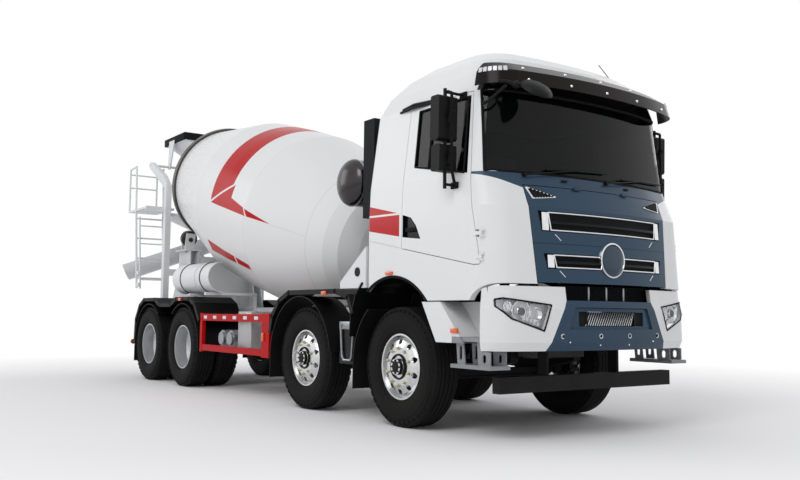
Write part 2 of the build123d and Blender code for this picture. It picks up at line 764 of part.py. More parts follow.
def bumper_middle(band, outer):
    """The dark middle: a recess with a slatted vent, four sockets, a shelf and the mesh over it."""
    middle = band & front_plate(centre_outline, bumper_rear, 1600)
    middle -= block(bumper_rear, 1600, -centre_half - 1, centre_half + 1, centre_high, 1300)
    middle -= (outer - level_loft(bumper_sections, 18)) & front_plate(number_recess, 1300, 1600)
    middle -= block(1300, 1600, -vent_half, vent_half, vent_low, vent_high)
    for z in (945, 980, 1015):
        middle += block(1440, 1470, -vent_half - 1, vent_half + 1, z, z + 14)
    for y in (-300, 300):
        middle += block(1440, 1480, y - 7, y + 7, vent_low - 1, vent_high + 1)
    for y in (-590, -180, 180, 590):
        middle -= rod((1400, y, 850), (1600, y, 850), 16)
    middle += block(1385, 1500, -520, 520, centre_high - 35, centre_high) & level_loft(bumper_sections, 5)
    row = (1425.0, 600.0, 1245.0)
    net = ((centre_high - 30, *row), (1262.0, *row))
    net_zone = block(bumper_rear, 1600, 1 - centre_half, centre_half - 1, centre_high - 30, 1262)
    middle += (level_loft(net) - level_loft(net, bumper_wall)) & net_zone
    for side in (1, -1):
        y = side * (rail_half_width - 45)
        middle += block(rail_front, 1465, y - 40, y + 40, 780, 870)
    return middle


def bumper():
    """White corner pieces, blue middle with its slats, and the headlamps in the corners."""
    outer = level_loft(bumper_sections)
    band = outer - level_loft(bumper_sections, bumper_wall)
    lamp = level_loft(bumper_sections, -2) - level_loft(bumper_sections, bumper_wall + 20)
    lamp = lamp & round_plate(headlamp_outline, 1190, 1600, headlamp_round)
    store("headlamps", *pair(lamp))
    store("bumper", bumper_middle(band, outer), *pair(bumper_corner(band)))


def underrun_beam():
    beam = block(1164, 1254, -1062, 1062, 388, 520)
    for side in (1, -1):
        y = side * (rail_half_width + 12 + seat_gap)
        beam += block(1060, 1165, y - 12, y + 12, 400, 890)
    return beam


def slot_hole(x, z0, z1, radius):
    """An upright slot with round ends, cut through a hanger."""
    ends = rod((x, 900, z0), (x, 1300, z0), radius) + rod((x, 900, z1), (x, 1300, z1), radius)
    return ends + block(x - radius, x + radius, 900, 1300, z0, z1)


def entry_steps():
    """Fairing behind the bumper corner, with two treads on pierced hangers each side."""
    panel = side_plate(((690, 800), (1195, 800), (1195, 1124), (690, 1124)), 985, 1000)
    fairing = side_plate(((443, 1124), (700, 1124), (1006, 785), (645, 785)), 1000, 1235)
    tread = block(860, 1195, 1000, 1225, 800, 835)
    low = block(830, 1320, 1010, 1225, 583, 612)
    rear_hanger = ((870, 810), (960, 810), (985, 600), (890, 600))
    front_hanger = ((1130, 820), (1195, 820), (1195, 727), (1290, 722), (1290, 600), (1150, 600))
    steps = panel + fairing + tread + low
    for y in (1020, 1185):
        hangers = side_plate(rear_hanger, y, y + 12) + side_plate(front_hanger, y, y + 12)
        hangers -= slot_hole(928, 665, 745, 18)
        hangers -= slot_hole(1220, 655, 680, 22)
        steps += hangers
    return steps + block(900, 960, rail_half_width, 990, 860, 940)


# ---- mudguards, guards and tanks ----------------------------------------------------------
def fender(x, radius, start, end, y0, y1):
    """An arched strip over a wheel, from one angle to another counted from straight ahead."""
    outer, inner = radius + 10, radius
    centre_z = tyre_radius

    def at(r, angle):
        a = math.radians(angle)
        return (along(x) + r * math.cos(a), y0, centre_z + r * math.sin(a))

    middle = (start + end) / 2
    edges = [
        Edge.make_three_point_arc(at(outer, start), at(outer, middle), at(outer, end)),
        Edge.make_line(at(outer, end), at(inner, end)),
        Edge.make_three_point_arc(at(inner, end), at(inner, middle), at(inner, start)),
        Edge.make_line(at(inner, start), at(outer, start)),
    ]
    return Solid.extrude(Face(Wire(edges)), Vector(0, y1 - y0, 0))


def mudguards():
    """Black guards: behind axle 1, over axle 2 and over both rear axles, with flaps and stays."""
    steered, driven = 650.0, 590.0
    plate = 10.0
    stay_y = rail_half_width
    first = fender(0, steered, 128, 182, 880, 1235)
    first += block(-steered - plate, -steered, 880, 1235, 300, 545)
    first += block(-steered - plate, -steered + 50, stay_y, 900, 742, 762)
    x = front_axles[1]
    second = fender(x, steered, 8, 172, 880, 1235)
    second += block(x - steered - 8, x - steered + 2, 880, 1235, 300, 640)
    crown = tyre_radius + steered
    second += block(x - 25, x + 25, stay_y, 881, crown - 20, crown + plate)
    second += block(x - 25, x + 25, stay_y, stay_y + 20, 880, crown)
    rear = fender(rear_axles[0], driven, 0, 131, 605, 1243)
    rear_tail = fender(rear_axles[1], driven, 49, 180, 605, 1243)
    for stay_x in (rear_axles[0] - driven / 2, rear_axles[1] + driven / 2):
        stay = block(stay_x - 25, stay_x + 25, stay_y, 640, 1045, 1070)
        if stay_x > sum(rear_axles) / 2:
            rear += stay
        else:
            rear_tail += stay
    tail = rear_axles[1] - driven
    rear_tail += block(tail - plate, tail, 605, 1243, 260, 545)
    return pair(first) + pair(second) + pair(rear) + pair(rear_tail)


def side_guards():
    """Red guard between axles 2 and 3: two rails, a wide front post and a rear post."""
    front, back = -2460.0, -4470.0
    rails = block(back, front, 1185, 1225, 910, 1000) + block(back, front, 1185, 1225, 520, 600)
    post = block(front - 190, front, 1180, 1228, 505, 1010)
    rear_post = block(back, back + 70, 1180, 1228, 505, 1010)
    arms = block(front - 120, front - 60, rail_half_width, 1185, 930, 990)
    arms += block(back + 10, back + 60, rail_half_width, 1185, 930, 990)
    return rails + post + rear_post + arms


def air_tanks():
    shapes = []
    for x in (-3950.0, -3700.0):
        tank = rod((x, -1130, 690), (x, -560, 690), 105)
        tank = tank + rod((x, -560, 690), (x, -530, 690), 80) + rod((x, -1155, 690), (x, -1130, 690), 80)
        strap = block(x - 20, x + 20, -700, -rail_half_width, 780, 850)
        shapes.append(tank + strap)
    return shapes


def battery_box():
    return block(-3420, -3060, -1160, -450, 540, 1030) + block(-3400, -3080, -451, -rail_half_width, 800, 1000)


def fuel_tank():
    tank = block(-4250, -2800, 470, 1150, 520, 1020)
    tank = fillet(tank.edges().filter_by(Axis.X), 90)
    return tank + block(-4000, -3900, rail_half_width, 480, 760, 1000) + block(-3150, -3050, rail_half_width, 480, 760, 1000)


def stowage_box():
    """Black box between the two steered axles on each side."""
    box_solid = block(-1040, -720, 620, 1150, 520, 930)
    return box_solid + block(-960, -800, rail_half_width, 621, 800, 900)


def tow_coupling():
    """Rear jaw with two ears and a bore for an upright towing pin."""
    z, reach = 880.0, tow_pin_reach
    jaw = block(rail_rear - 14, rail_rear, -110, 110, z - 90, z + 90)
    for z0 in (z - tow_jaw_gap / 2 - 22, z + tow_jaw_gap / 2):
        ear = block(rail_rear - reach, rail_rear - 13, -60, 60, z0, z0 + 22)
        ear += rod((rail_rear - reach, 0, z0), (rail_rear - reach, 0, z0 + 22), 60)
        jaw += ear
    jaw -= rod((rail_rear - reach, 0, z - 200), (rail_rear - reach, 0, z + 200), tow_pin_bore)
    return jaw


def chassis():
    store("frame_rails", frame_rails())
    store("leaf_springs", *leaf_springs())
    store("powertrain", *powertrain())
    bumper()
    store("underrun_beam", underrun_beam())
    store("entry_steps", *pair(entry_steps()))
    store("mudguards", *mudguards())
    store("side_guards", *pair(side_guards()))
    store("air_tanks", *air_tanks())
    store("side_boxes", battery_box(), fuel_tank(), *pair(stowage_box()))
    store("tow_coupling", tow_coupling())


# ---- mixer --------------------------------------------------------------------------------
tilt = math.radians(drum_tilt)
drum_axis = Vector(-math.cos(tilt), 0, math.sin(tilt))
drum_up = Vector(math.sin(tilt), 0, math.cos(tilt))
drum_origin = Vector(along(drum_head_x), 0, drum_head_z)


def drum_point(station, radius):
    return drum_origin + drum_axis * station + drum_up * radius


def drum_turned(points):
    """A body turned about the drum's axis from (station, radius) points."""
    outline = Wire.make_polygon([drum_point(s, r) for s, r in points], close=True)
    return Solid.revolve(Face(outline), 360, Axis(drum_origin, drum_axis))


def drum():
    outer = list(drum_profile)
    inner = [(s, r - drum_wall) for s, r in outer[1:]]
    inner[-1] = (outer[-1][0], outer[-1][1] - drum_wall)
    points = [(0, 0.0), *outer, *reversed(inner), (drum_wall + 12, 320.0), (drum_wall + 12, 0.0)]
    store("drum_shell", drum_turned(points))
    half = ring_width / 2
    seat_radius = ring_seat_radius + seat_gap
    ring_points = (
        (ring_station - half, seat_radius),
        (ring_station + half, seat_radius),
        (ring_station + half, ring_radius),
        (ring_station - half, ring_radius),
    )
    store("drum_ring", drum_turned(ring_points))


def roller_centre(side):
    angle = math.radians(roller_spread)
    reach = ring_radius + roller_radius + seat_gap
    place = drum_origin + drum_axis * ring_station - drum_up * (reach * math.cos(angle))
    return place + Vector(0, side * reach * math.sin(angle), 0)


def rollers():
    for side, label in ((1, "left"), (-1, "right")):
        centre = roller_centre(side)
        start = centre - drum_axis * (roller_width / 2)
        plane = Plane(origin=start, z_dir=drum_axis)
        wheel = Solid.make_cylinder(roller_radius, roller_width, plane)
        shaft = Solid.make_cylinder(roller_shaft_radius, roller_width + 120, Plane(origin=start - drum_axis * 60, z_dir=drum_axis))
        store(f"roller_{label}", wheel + shaft)


def roller_bracket(side):
    """Two ears that hold the roller's shaft, standing on the pedestal."""
    centre = roller_centre(side)
    bore = roller_shaft_radius + bearing_clearance
    ears = []
    for start in (-roller_width / 2 - 45, roller_width / 2 + 15):
        base = centre + drum_axis * start
        plane = Plane(origin=base, z_dir=drum_axis, x_dir=(0, 1, 0))
        ear = plane * Pos(0, 60, 15) * Box(150, 310, 30)
        ears.append(ear - Solid.make_cylinder(bore, 400, Plane(origin=base - drum_axis * 150, z_dir=drum_axis)))
    return ears


def mixer_frame():
    """Subframe, front pedestal for the gearbox, rear pedestal with roller ears, and the portal."""
    top = rail_top + subframe_height
    rail = block(-7300, -820, rail_half_width - 80, rail_half_width, rail_top, top)
    frame = rail + mirrored(rail)
    for x in (-900, -1640, -5600, -7200):
        frame += block(x - 40, x + 40, -rail_half_width, rail_half_width, rail_top + 10, top - 10)
    # front pedestal
    leg_shape = ((-1180, top - 1), (-1640, top - 1), (-1560, 1340), (-1240, 1340))
    leg = side_plate(leg_shape, 350, 380)
    frame += leg + mirrored(leg)
    frame += block(-1560, -1240, -380, 380, 1310, 1340)
    # rear pedestal
    foot_x = roller_centre(1).X - front_axle_x
    plate_shape = (
        (foot_x + 380, top - 1),
        (foot_x - 600, top - 1),
        (foot_x - 300, 1700),
        (foot_x - 300, 1990),
        (foot_x + 160, 1990),
        (foot_x + 160, 1800),
    )
    for side in (1, -1):
        frame += sided(side_plate(plate_shape, 440, 460), side)
        frame += sided(side_plate(plate_shape, 575, 595), side)
        frame += sided(block(foot_x - 300, foot_x + 160, 400, 660, 1985, 2005), side)
        frame += sided(block(foot_x - 590, foot_x + 370, 350, 598, top - 1, top + 30), side)
    frame += block(foot_x + 120, foot_x + 140, -450, 450, top + 20, 1900)
    # portal columns, rearward arms that carry the hopper, and the bar under the chute's bearing
    for side in (1, -1):
        column = block(-6970, -6860, 790, 880, top, 3060)
        foot = block(-6970, -6860, 660, 880, top, top + 60)
        shape = ((-6860, 3060), (-6860, 2900), (-7100, 3080), (-7660, 3400), (-7700, 3420), (-7740, 3480))
        shape += ((-7700, 3530), (-7640, 3520), (-7050, 3230))
        arm = side_plate(shape, 800, 870)
        arm -= rod((hopper_pivot[0], 700, hopper_pivot[1]), (hopper_pivot[0], 900, hopper_pivot[1]), 20 + bearing_clearance)
        frame += sided(column + foot + arm, side)
    frame += block(-6965, -6865, -791, 791, 1600, 1700)
    for side in (1, -1):
        for ear in roller_bracket(side):
            frame += ear
    return frame


def gearbox_place():
    return drum_origin - drum_axis * seat_gap


def drum_gearbox():
    """Drive gearbox bolted to the front pedestal, with its foot and output flange."""
    start = gearbox_place()
    back = Plane(origin=start - drum_axis * 330, z_dir=drum_axis)
    body = Solid.make_cylinder(200, 330, back)
    flange = Solid.make_cylinder(240, 40, Plane(origin=start - drum_axis * 40, z_dir=drum_axis))
    foot = block(-1520, -1280, -150, 150, 1340, 1560)
    return body + flange + foot


def water_tank():
    x, z = -1130.0, 2380.0
    tank = turned(
        (
            (0.0, -tank_half_length),
            (120.0, -tank_half_length + 15),
            (200.0, -tank_half_length + 50),
            (tank_radius, -tank_half_length + 110),
            (tank_radius, tank_half_length - 110),
            (200.0, tank_half_length - 50),
            (120.0, tank_half_length - 15),
            (0.0, tank_half_length),
        ),
        x,
        z,
    )
    base = rail_top + subframe_height
    whole = tank
    for side in (1, -1):
        whole += sided(block(x + 60, x + 120, 640, 700, base, z - 150), side)
        whole += sided(block(x + 40, x + 140, 350, 701, base, base + 30), side)
    return [whole]


def funnel_walls(rows, wall):
    """A four-sided funnel from a table of levels: rear x, front x, half width, height."""

    def level(row, inset):
        x0, x1, half, z = row
        low, high, side = x0 + inset, x1 - inset, half - inset
        corners = ((low, -side), (high, -side), (high, side), (low, side))
        return Wire.make_polygon([Vector(along(x), y, z) for x, y in corners], close=True)

    outer = Solid.make_loft([level(row, 0) for row in rows], ruled=True)
    inner = Solid.make_loft([level(row, wall) for row in rows], ruled=True)
    return outer - inner


def charging_hopper():
    """Square-mouthed funnel with a rubber rim, over the drum's mouth, on its cross pin."""
    top = 3900.0
    rows = ((-7950.0, -7060.0, 520.0, top), (-7420.0, -7120.0, 160.0, 3480.0), (-7380.0, -7140.0, 150.0, 3360.0))
    funnel = funnel_walls(rows, 8.0)
    x0, x1, half, z = rows[0]
    collar = block(x0 - 12, x1 + 12, -half - 12, half + 12, top - 30, top + 80)
    collar -= block(x0 + 4, x1 - 4, -half + 4, half - 4, top - 40, top + 90)
    pivot_x, pivot_z = hopper_pivot
    pin = rod((pivot_x, -875, pivot_z), (pivot_x, 875, pivot_z), 20)
    shape = ((pivot_x - 40, pivot_z - 40), (pivot_x + 40, pivot_z - 40), (-7480, top + 20), (-7720, top + 20))
    cheek = side_plate(shape, half + 5, half + 25)
    return funnel + collar + pin + cheek + mirrored(cheek)


def discharge_funnel():
    """Collecting funnel below the mouth, and the bearing that holds the chute's post."""
    rows = ((-7800.0, -7170.0, 560.0, 2610.0), (-7620.0, -7280.0, 175.0, 2420.0), (-7610.0, -7290.0, 165.0, 2400.0))
    whole = funnel_walls(rows, 8.0)
    x0, x1, half, top = rows[0]
    collar = block(x0 - 15, x1 + 15, -half - 15, half + 15, top - 25, top + 5)
    whole += collar - block(x0 + 8, x1 - 8, -half + 8, half - 8, top - 30, top + 10)
    for side in (1, -1):
        whole += sided(block(-7200, -6970, half - 5, 600, 2560, 2610), side)
        whole += sided(block(-7010, -6970, 599, 870, 2560, 2610), side)
    x = chute_post_x
    bearing = rod((x, 0, 1610), (x, 0, 1690), 120) + block(x, -6965, -60, 60, 1615, 1685)
    bearing -= rod((x, 0, 1500), (x, 0, 1800), chute_post_radius + bearing_clearance)
    return [whole, bearing]


def chute_point(run, side, z):
    """A place on the chute: so far out from its post, so far to the left of it, and its height."""
    heading = math.radians(chute_heading)
    x = chute_post_x + run * math.cos(heading) - side * math.sin(heading)
    y = run * math.sin(heading) + side * math.cos(heading)
    return (x, y, z)


def chute_swivel():
    """Upright post in the bearing, with a fork and pin for the chute's lug."""
    x, z = chute_post_x, chute_pivot_z
    post = rod((x, 0, 1560), (x, 0, z - 60), chute_post_radius)
    post += rod((x, 0, 1690 + 1), (x, 0, 1720), 110)
    pin = rod(chute_point(0, -75, z), chute_point(0, 75, z), chute_pin_radius)
    base = rod(chute_point(0, -75, z - 82), chute_point(0, 75, z - 82), 40)
    ears = None
    for side in (-75, 45):
        ear = rod(chute_point(0, side, z), chute_point(0, side + 30, z), 40)
        ear += rod(chute_point(0, side, z - 45), chute_point(0, side + 30, z - 45), 40)
        ears = ear if ears is None else ears + ear
    return post + pin + base + ears


def main_chute():
    """Half-round trough down and outward from the post, with a lug on the pivot pin."""
    slope = math.radians(chute_slope)
    heading = math.radians(chute_heading)
    direction = Vector(math.cos(heading) * math.cos(slope), math.sin(heading) * math.cos(slope), -math.sin(slope))
    across = Vector(-math.sin(heading), math.cos(heading), 0)
    start = chute_point(0, 0, chute_rim_z)
    origin = Vector(along(start[0]), start[1], start[2]) - direction * chute_tail
    plane = Plane(origin=origin, z_dir=direction, x_dir=across)
    length = chute_length + chute_tail
    trough = Solid.make_cylinder(chute_radius, length, plane)
    trough -= Solid.make_cylinder(chute_radius - chute_wall, length + 20, Plane(origin=origin - direction * 5, z_dir=direction))
    up = 1 if plane.y_dir.Z > 0 else -1
    trough -= plane * Pos(0, up * 300, length / 2) * Box(700, 600, length + 40)
    z = chute_pivot_z
    lug = rod(chute_point(0, -38, z), chute_point(0, 38, z), 34)
    web = rod(chute_point(0, 0, z), chute_point(0, 0, chute_rim_z - chute_radius + 3), 30)
    lug = (lug + web) - rod(chute_point(0, -60, z), chute_point(0, 60, z), chute_pin_radius + bearing_clearance)
    return trough + lug


def ladder_part(x_top, z_top, x_low, z_low, y0, y1, rungs, radius):
    """Two rails and their rungs."""
    rails = rod((x_top, y0, z_top), (x_low, y0, z_low), radius)
    rails += rod((x_top, y1, z_top), (x_low, y1, z_low), radius)
    for index in range(rungs):
        share = (index + 0.5) / rungs
        x = x_top + share * (x_low - x_top)
        z = z_top + share * (z_low - z_top)
        rails += rod((x, y0, z), (x, y1, z), radius * 0.75)
    return rails


ladder_rise = 1300.0 / 150.0
ladder_fixed_top = (-7480.0, 2700.0)
ladder_slide_top = (-7395.0, 2560.0)
ladder_slide_y = (-1115.0, -735.0)
ladder_slide_radius = 14.0


def ladder_x(top, z):
    """X of a ladder's rail at a height, from the place of its top."""
    return top[0] + (top[1] - z) / ladder_rise


def ladder_guides():
    """Half-open runners on the fixed rails for the sliding ladder's rails."""
    guides = None
    for z in (1450.0, 1640.0):
        back = ladder_x(ladder_fixed_top, z)
        front = ladder_x(ladder_slide_top, z)
        for y, out in zip(ladder_slide_y, (-1, 1)):
            guide = block(back - 6, front + 24, y + out * 2, y + out * 40, z - 30, z + 30)
            start = (ladder_x(ladder_slide_top, z - 80), y, z - 80)
            end = (ladder_x(ladder_slide_top, z + 80), y, z + 80)
            guide -= rod(start, end, ladder_slide_radius + seat_gap)
            guides = guide if guides is None else guides + guide
    return guides


def platform_ladder():
    y0, y1 = -1150.0, -700.0
    body = ladder_part(*ladder_fixed_top, ladder_x(ladder_fixed_top, 1400), 1400, y0, y1, 4, 17)
    for y in (y0, y1):
        body += rod((-7480, y, 2700), (-7520, y, 3400), 15)
        body += rod((-7520, y, 3400), (-7820, y, 3380), 15)
        body += rod((-7820, y, 3380), (-7820, y, 2680), 15)
    body += ladder_guides()
    for z in (3080.0, 3300.0):
        body += rod((-7820, y0, z), (-7820, y1, z), 12)
    body += block(-7840, -6985, y0 - 10, y1 + 10, 2660, 2690)
    body += block(-6990, -6970, -1160, -800, 2610, 2700)
    return body


def ladder_lower():
    """The sliding lower section, drawn up in front of the fixed ladder."""
    foot_x = ladder_x(ladder_slide_top, 1390)
    return ladder_part(*ladder_slide_top, foot_x, 1390, *ladder_slide_y, 4, ladder_slide_radius)


def spare_chutes():
    """Two half-round troughs nested on edge, open inward, on cradle bars from the subframe."""
    y, rim_z = -990.0, 1492.0
    nest = chute_wall + seat_gap
    table = ((-5600.0, -4800.0, 212.0, -5000.0), (-5090.0, -4330.0, 212.0 - nest, -4450.0))
    shapes = []
    for x0, x1, radius, bar_x in table:
        tube = rod((x0, y, rim_z), (x1, y, rim_z), radius)
        tube -= rod((x0 - 10, y, rim_z), (x1 + 10, y, rim_z), radius - chute_wall)
        tube -= block(x0 - 20, x1 + 20, y, -500, rim_z - 300, rim_z + 300)
        low = rim_z - radius - seat_gap
        bar = block(bar_x - 25, bar_x + 25, -1180, -rail_half_width, low - 40, low)
        bar += block(bar_x - 25, bar_x + 25, -rail_half_width - 30, -rail_half_width, rail_top + 5, low)
        shapes += [tube, bar]
    return shapes


def mixer():
    drum()
    rollers()
    store("mixer_frame", mixer_frame())
    store("drum_gearbox", drum_gearbox())
    store("water_tank", *water_tank())
    store("charging_hopper", charging_hopper())
    store("discharge_funnel", *discharge_funnel())
    store("chute_swivel", chute_swivel())
    store("main_chute", main_chute())
    store("platform_ladder", platform_ladder())
    store("ladder_lower", ladder_lower())
    store("spare_chutes", *spare_chutes())


def export():
    os.makedirs("parts", exist_ok=True)
    for name, solids in nodes.items():
        shape = solids[0] if len(solids) == 1 else Compound(children=solids)
        export_step(shape, f"parts/{name}.step")


running_gear()
chassis()
cab()
mixer()
export()
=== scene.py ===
import json
import math

import bmesh
import bpy
from mathutils import Matrix, Vector


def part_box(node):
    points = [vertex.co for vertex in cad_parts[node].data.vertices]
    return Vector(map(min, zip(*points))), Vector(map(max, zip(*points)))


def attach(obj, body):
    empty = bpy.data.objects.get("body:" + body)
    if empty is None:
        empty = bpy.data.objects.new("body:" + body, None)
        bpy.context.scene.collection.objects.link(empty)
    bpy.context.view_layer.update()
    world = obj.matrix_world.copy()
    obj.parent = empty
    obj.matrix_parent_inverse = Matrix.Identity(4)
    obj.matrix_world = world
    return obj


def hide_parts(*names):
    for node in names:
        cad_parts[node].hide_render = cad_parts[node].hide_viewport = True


# Concrete mixer truck: materials for the CAD nodes, and the detail that stands on them.
# Metres, in the CAD's own frame: +X forward, +Y to the driver's left, +Z up.

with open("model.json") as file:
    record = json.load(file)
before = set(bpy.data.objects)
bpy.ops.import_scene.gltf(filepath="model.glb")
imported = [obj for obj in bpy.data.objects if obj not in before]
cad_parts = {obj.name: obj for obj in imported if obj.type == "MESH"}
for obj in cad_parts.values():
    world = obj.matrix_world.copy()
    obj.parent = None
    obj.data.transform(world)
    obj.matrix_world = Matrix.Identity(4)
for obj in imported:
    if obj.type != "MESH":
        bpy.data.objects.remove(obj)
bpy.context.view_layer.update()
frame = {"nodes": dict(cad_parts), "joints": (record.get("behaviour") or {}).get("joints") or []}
nodes = frame["nodes"]
joints = {joint["name"]: joint for joint in frame["joints"]}


def joint_at(name):
    """The place of a joint."""
    return Vector(joints[name]["pos_m"])


AXLES = [joint_at(f"spin_{number}_left").x for number in (1, 2, 3, 4)]
AXLE = AXLES[0]
WHEEL_Z = joint_at("spin_1_left").z
DRUM_AT = joint_at("drum_spin")
DRUM_AXIS = Vector(joints["drum_spin"]["axis"]).normalized()
DRUM_UP = Vector((DRUM_AXIS.z, 0, -DRUM_AXIS.x))
SIDES = (("left", 1), ("right", -1))


# ---- shader helpers -----------------------------------------------------------------------
MATHS, RANGE, MIX = "ShaderNodeMath", "ShaderNodeMapRange", "ShaderNodeMix"
NOISE, CELLS, BUMP = "ShaderNodeTexNoise", "ShaderNodeTexVoronoi", "ShaderNodeBump"
SHADE, AXES, VECTOR = "ShaderNodeHueSaturation", "ShaderNodeSeparateXYZ", "ShaderNodeVectorMath"
SHADER = "Principled BSDF"
MAT = {}


def linear(code):
    """sRGB hex to linear RGBA."""
    parts = [int(code[i : i + 2], 16) / 255 for i in (0, 2, 4)]
    return tuple(c / 12.92 if c <= 0.04045 else ((c + 0.055) / 1.055) ** 2.4 for c in parts) + (1.0,)


def add(tree, kind, feeds=(), out=0, into=None, **settings):
    """Adds a node with its settings and what feeds it, and returns the output asked for.

    The output is linked into the socket of the material's shader that `into` names.
    """
    made = tree.nodes.new(kind)
    for key, value in settings.items():
        setattr(made, key, value)
    for key, value in feeds.items() if isinstance(feeds, dict) else enumerate(feeds):
        if isinstance(value, bpy.types.NodeSocket):
            tree.links.new(value, made.inputs[key])
        else:
            made.inputs[key].default_value = value
    if into:
        tree.links.new(made.outputs[out], tree.nodes[SHADER].inputs[into])
    return made.outputs[out]


def begin(name, code, roughness, **sockets):
    """A material with its shader's own sockets set; returns its tree and object coordinates."""
    made = bpy.data.materials.new(name)
    made.use_nodes = True
    tree = made.node_tree
    for key, value in {"Base Color": linear(code), "Roughness": roughness, **sockets}.items():
        tree.nodes[SHADER].inputs[key.replace("_", " ")].default_value = value
    MAT[name] = made
    return tree, add(tree, "ShaderNodeTexCoord", out="Object")


def inside(tree, value, low, high, soft=0.0015):
    """1 between two values and 0 outside, with an edge as soft as a masked spray line."""
    rise = add(tree, RANGE, [value, low - soft, low + soft, 0.0, 1.0])
    fall = add(tree, RANGE, [value, high - soft, high + soft, 1.0, 0.0])
    return add(tree, MATHS, [rise, fall], operation="MULTIPLY")


def sloped(tree, along, height, start, slope):
    """How far a height is above a line that passes a starting point with a slope."""
    line = add(tree, MATHS, [along, -slope, slope * start[0] - start[1]], operation="MULTIPLY_ADD")
    return add(tree, MATHS, [height, line], operation="ADD")


def without(tree, mask, hole):
    """A mask with another one cut out of it."""
    return all_of(tree, mask, add(tree, MATHS, [1.0, hole], operation="SUBTRACT"))


def below(tree, value, edge, soft=0.0015):
    """1 where a value is less than another one."""
    return inside(tree, add(tree, MATHS, [value, edge], operation="SUBTRACT"), -3.0, 0.0, soft)


def all_of(tree, *masks):
    """1 only where every mask is 1. A tuple is a value with the two ends that it lies inside."""
    shared = None
    for mask in masks:
        mask = inside(tree, *mask) if isinstance(mask, tuple) else mask
        shared = add(tree, MATHS, [shared, mask], operation="MULTIPLY") if shared else mask
    return shared


def dusted(tree, place, colour, most, clean, dust="77726a"):
    """Road dust: thickest near the ground, broken into clouds about 0.3 m wide, and duller."""
    z = add(tree, AXES, [place], out=2)
    height = add(tree, RANGE, [z, 0.25, 1.5, most, most * 0.1])
    cloud = add(tree, NOISE, {"Vector": place, "Scale": 3.0, "Detail": 6.0, "Roughness": 0.7})
    cloud = add(tree, RANGE, [cloud, 0.35, 0.75, 0.2, 1.3])
    share = add(tree, MATHS, [height, cloud], operation="MULTIPLY", use_clamp=True)
    add(tree, MIX, {0: share, 6: colour, 7: linear(dust)}, 2, "Base Color", data_type="RGBA")
    add(tree, RANGE, [share, 0.0, 0.5, clean, 0.85], into="Roughness")


def sprayed(tree, place, colour, most, clean):
    """What sprayed enamel shows close up: orange peel about 6 mm wide, and dust."""
    dusted(tree, place, colour, most, clean)
    peel = add(tree, NOISE, {"Vector": place, "Scale": 160.0, "Detail": 2.0})
    add(tree, BUMP, {"Height": peel, "Strength": 0.04, "Distance": 0.002}, into="Normal")


# ---- materials ----------------------------------------------------------------------------
def painted(name, code, roughness, coat, most, metallic=0.0, gloss=0.3):
    """Enamel of one colour, a little clouded, with or without a clear coat."""
    coats = {"Coat_Weight": coat, "Coat_Roughness": 0.08}
    tree, place = begin(name, code, roughness, Metallic=metallic, Specular_IOR_Level=gloss, **coats)
    cloud = add(tree, NOISE, {"Vector": place, "Scale": 0.8, "Detail": 2.0})
    value = add(tree, RANGE, [cloud, 0.3, 0.7, 0.97, 1.02])
    colour = add(tree, SHADE, {"Color": linear(code), "Value": value})
    sprayed(tree, place, colour, most, roughness)


# White mixer frame enamel: sprayed over rolled and welded steel; satin white with a little dust.
painted("white_frame_paint", "dfe1e2", 0.4, 0.2, 0.18)
# Blue-grey enamel of the round boss on the lid: a soft gloss with a trace of metal.
painted("lid_boss_enamel", "2a3d4e", 0.24, 0.25, 0.03, metallic=0.25)
# Red enamel of the side guards: a deep red with little gloss.
painted("red_enamel", "b4080f", 0.34, 0.0, 0.02, gloss=0.08)
# Black chassis paint on rolled steel: satin, near black.
painted("chassis_black", "0b0c0d", 0.5, 0.0, 0.04, gloss=0.15)
# Grey enamel on cast iron: engine, gearbox and drive; dull and dusty.
painted("casting_grey", "3c3f42", 0.6, 0.0, 0.2)


def moulded(name, code, roughness, grain, depth, most):
    """Moulded polymer: a fine leather grain that spreads the light."""
    tree, place = begin(name, code, roughness, Specular_IOR_Level=0.16)
    dusted(tree, place, linear(code), most, roughness)
    cells = add(tree, CELLS, {"Vector": place, "Scale": grain})
    add(tree, BUMP, {"Height": cells, "Strength": depth, "Distance": 0.0006}, into="Normal")


# Grained black polypropylene of mudguards and mirror housings: satin with 1 mm grain.
moulded("black_plastic", "0d0e0f", 0.5, 900.0, 0.15, 0.03)
# Dark grey plastic trim inside the cab: matt, near black through the glass.
moulded("cab_trim", "29292b", 0.7, 700.0, 0.15, 0.0)
# Black rubber of seals, hopper rim and straps: matt with 3 mm pores.
moulded("black_rubber", "0e0e0f", 0.78, 300.0, 0.2, 0.05)

# Road tyre rubber: matt carbon black, a little dust low on the side wall, 4 mm mould marks.
tree, place = begin("tyre_rubber", "0f0f0f", 0.8, Specular_IOR_Level=0.15)
dusted(tree, place, linear("0f0f0f"), 0.09, 0.78, "4b4843")
marks = add(tree, NOISE, {"Vector": place, "Scale": 260.0, "Detail": 4.0})
add(tree, BUMP, {"Height": marks, "Strength": 0.15, "Distance": 0.001}, into="Normal")

# Smoked acrylic of the sun visor: smooth brown-black that lets nothing through.
tree, place = begin("smoked_acrylic", "140c0c", 0.22, Specular_IOR_Level=0.12)
cloud = add(tree, NOISE, {"Vector": place, "Scale": 2.0, "Detail": 2.0})
value = add(tree, RANGE, [cloud, 0.3, 0.7, 0.9, 1.15])
add(tree, SHADE, {"Color": linear("140c0c"), "Value": value}, into="Base Color")


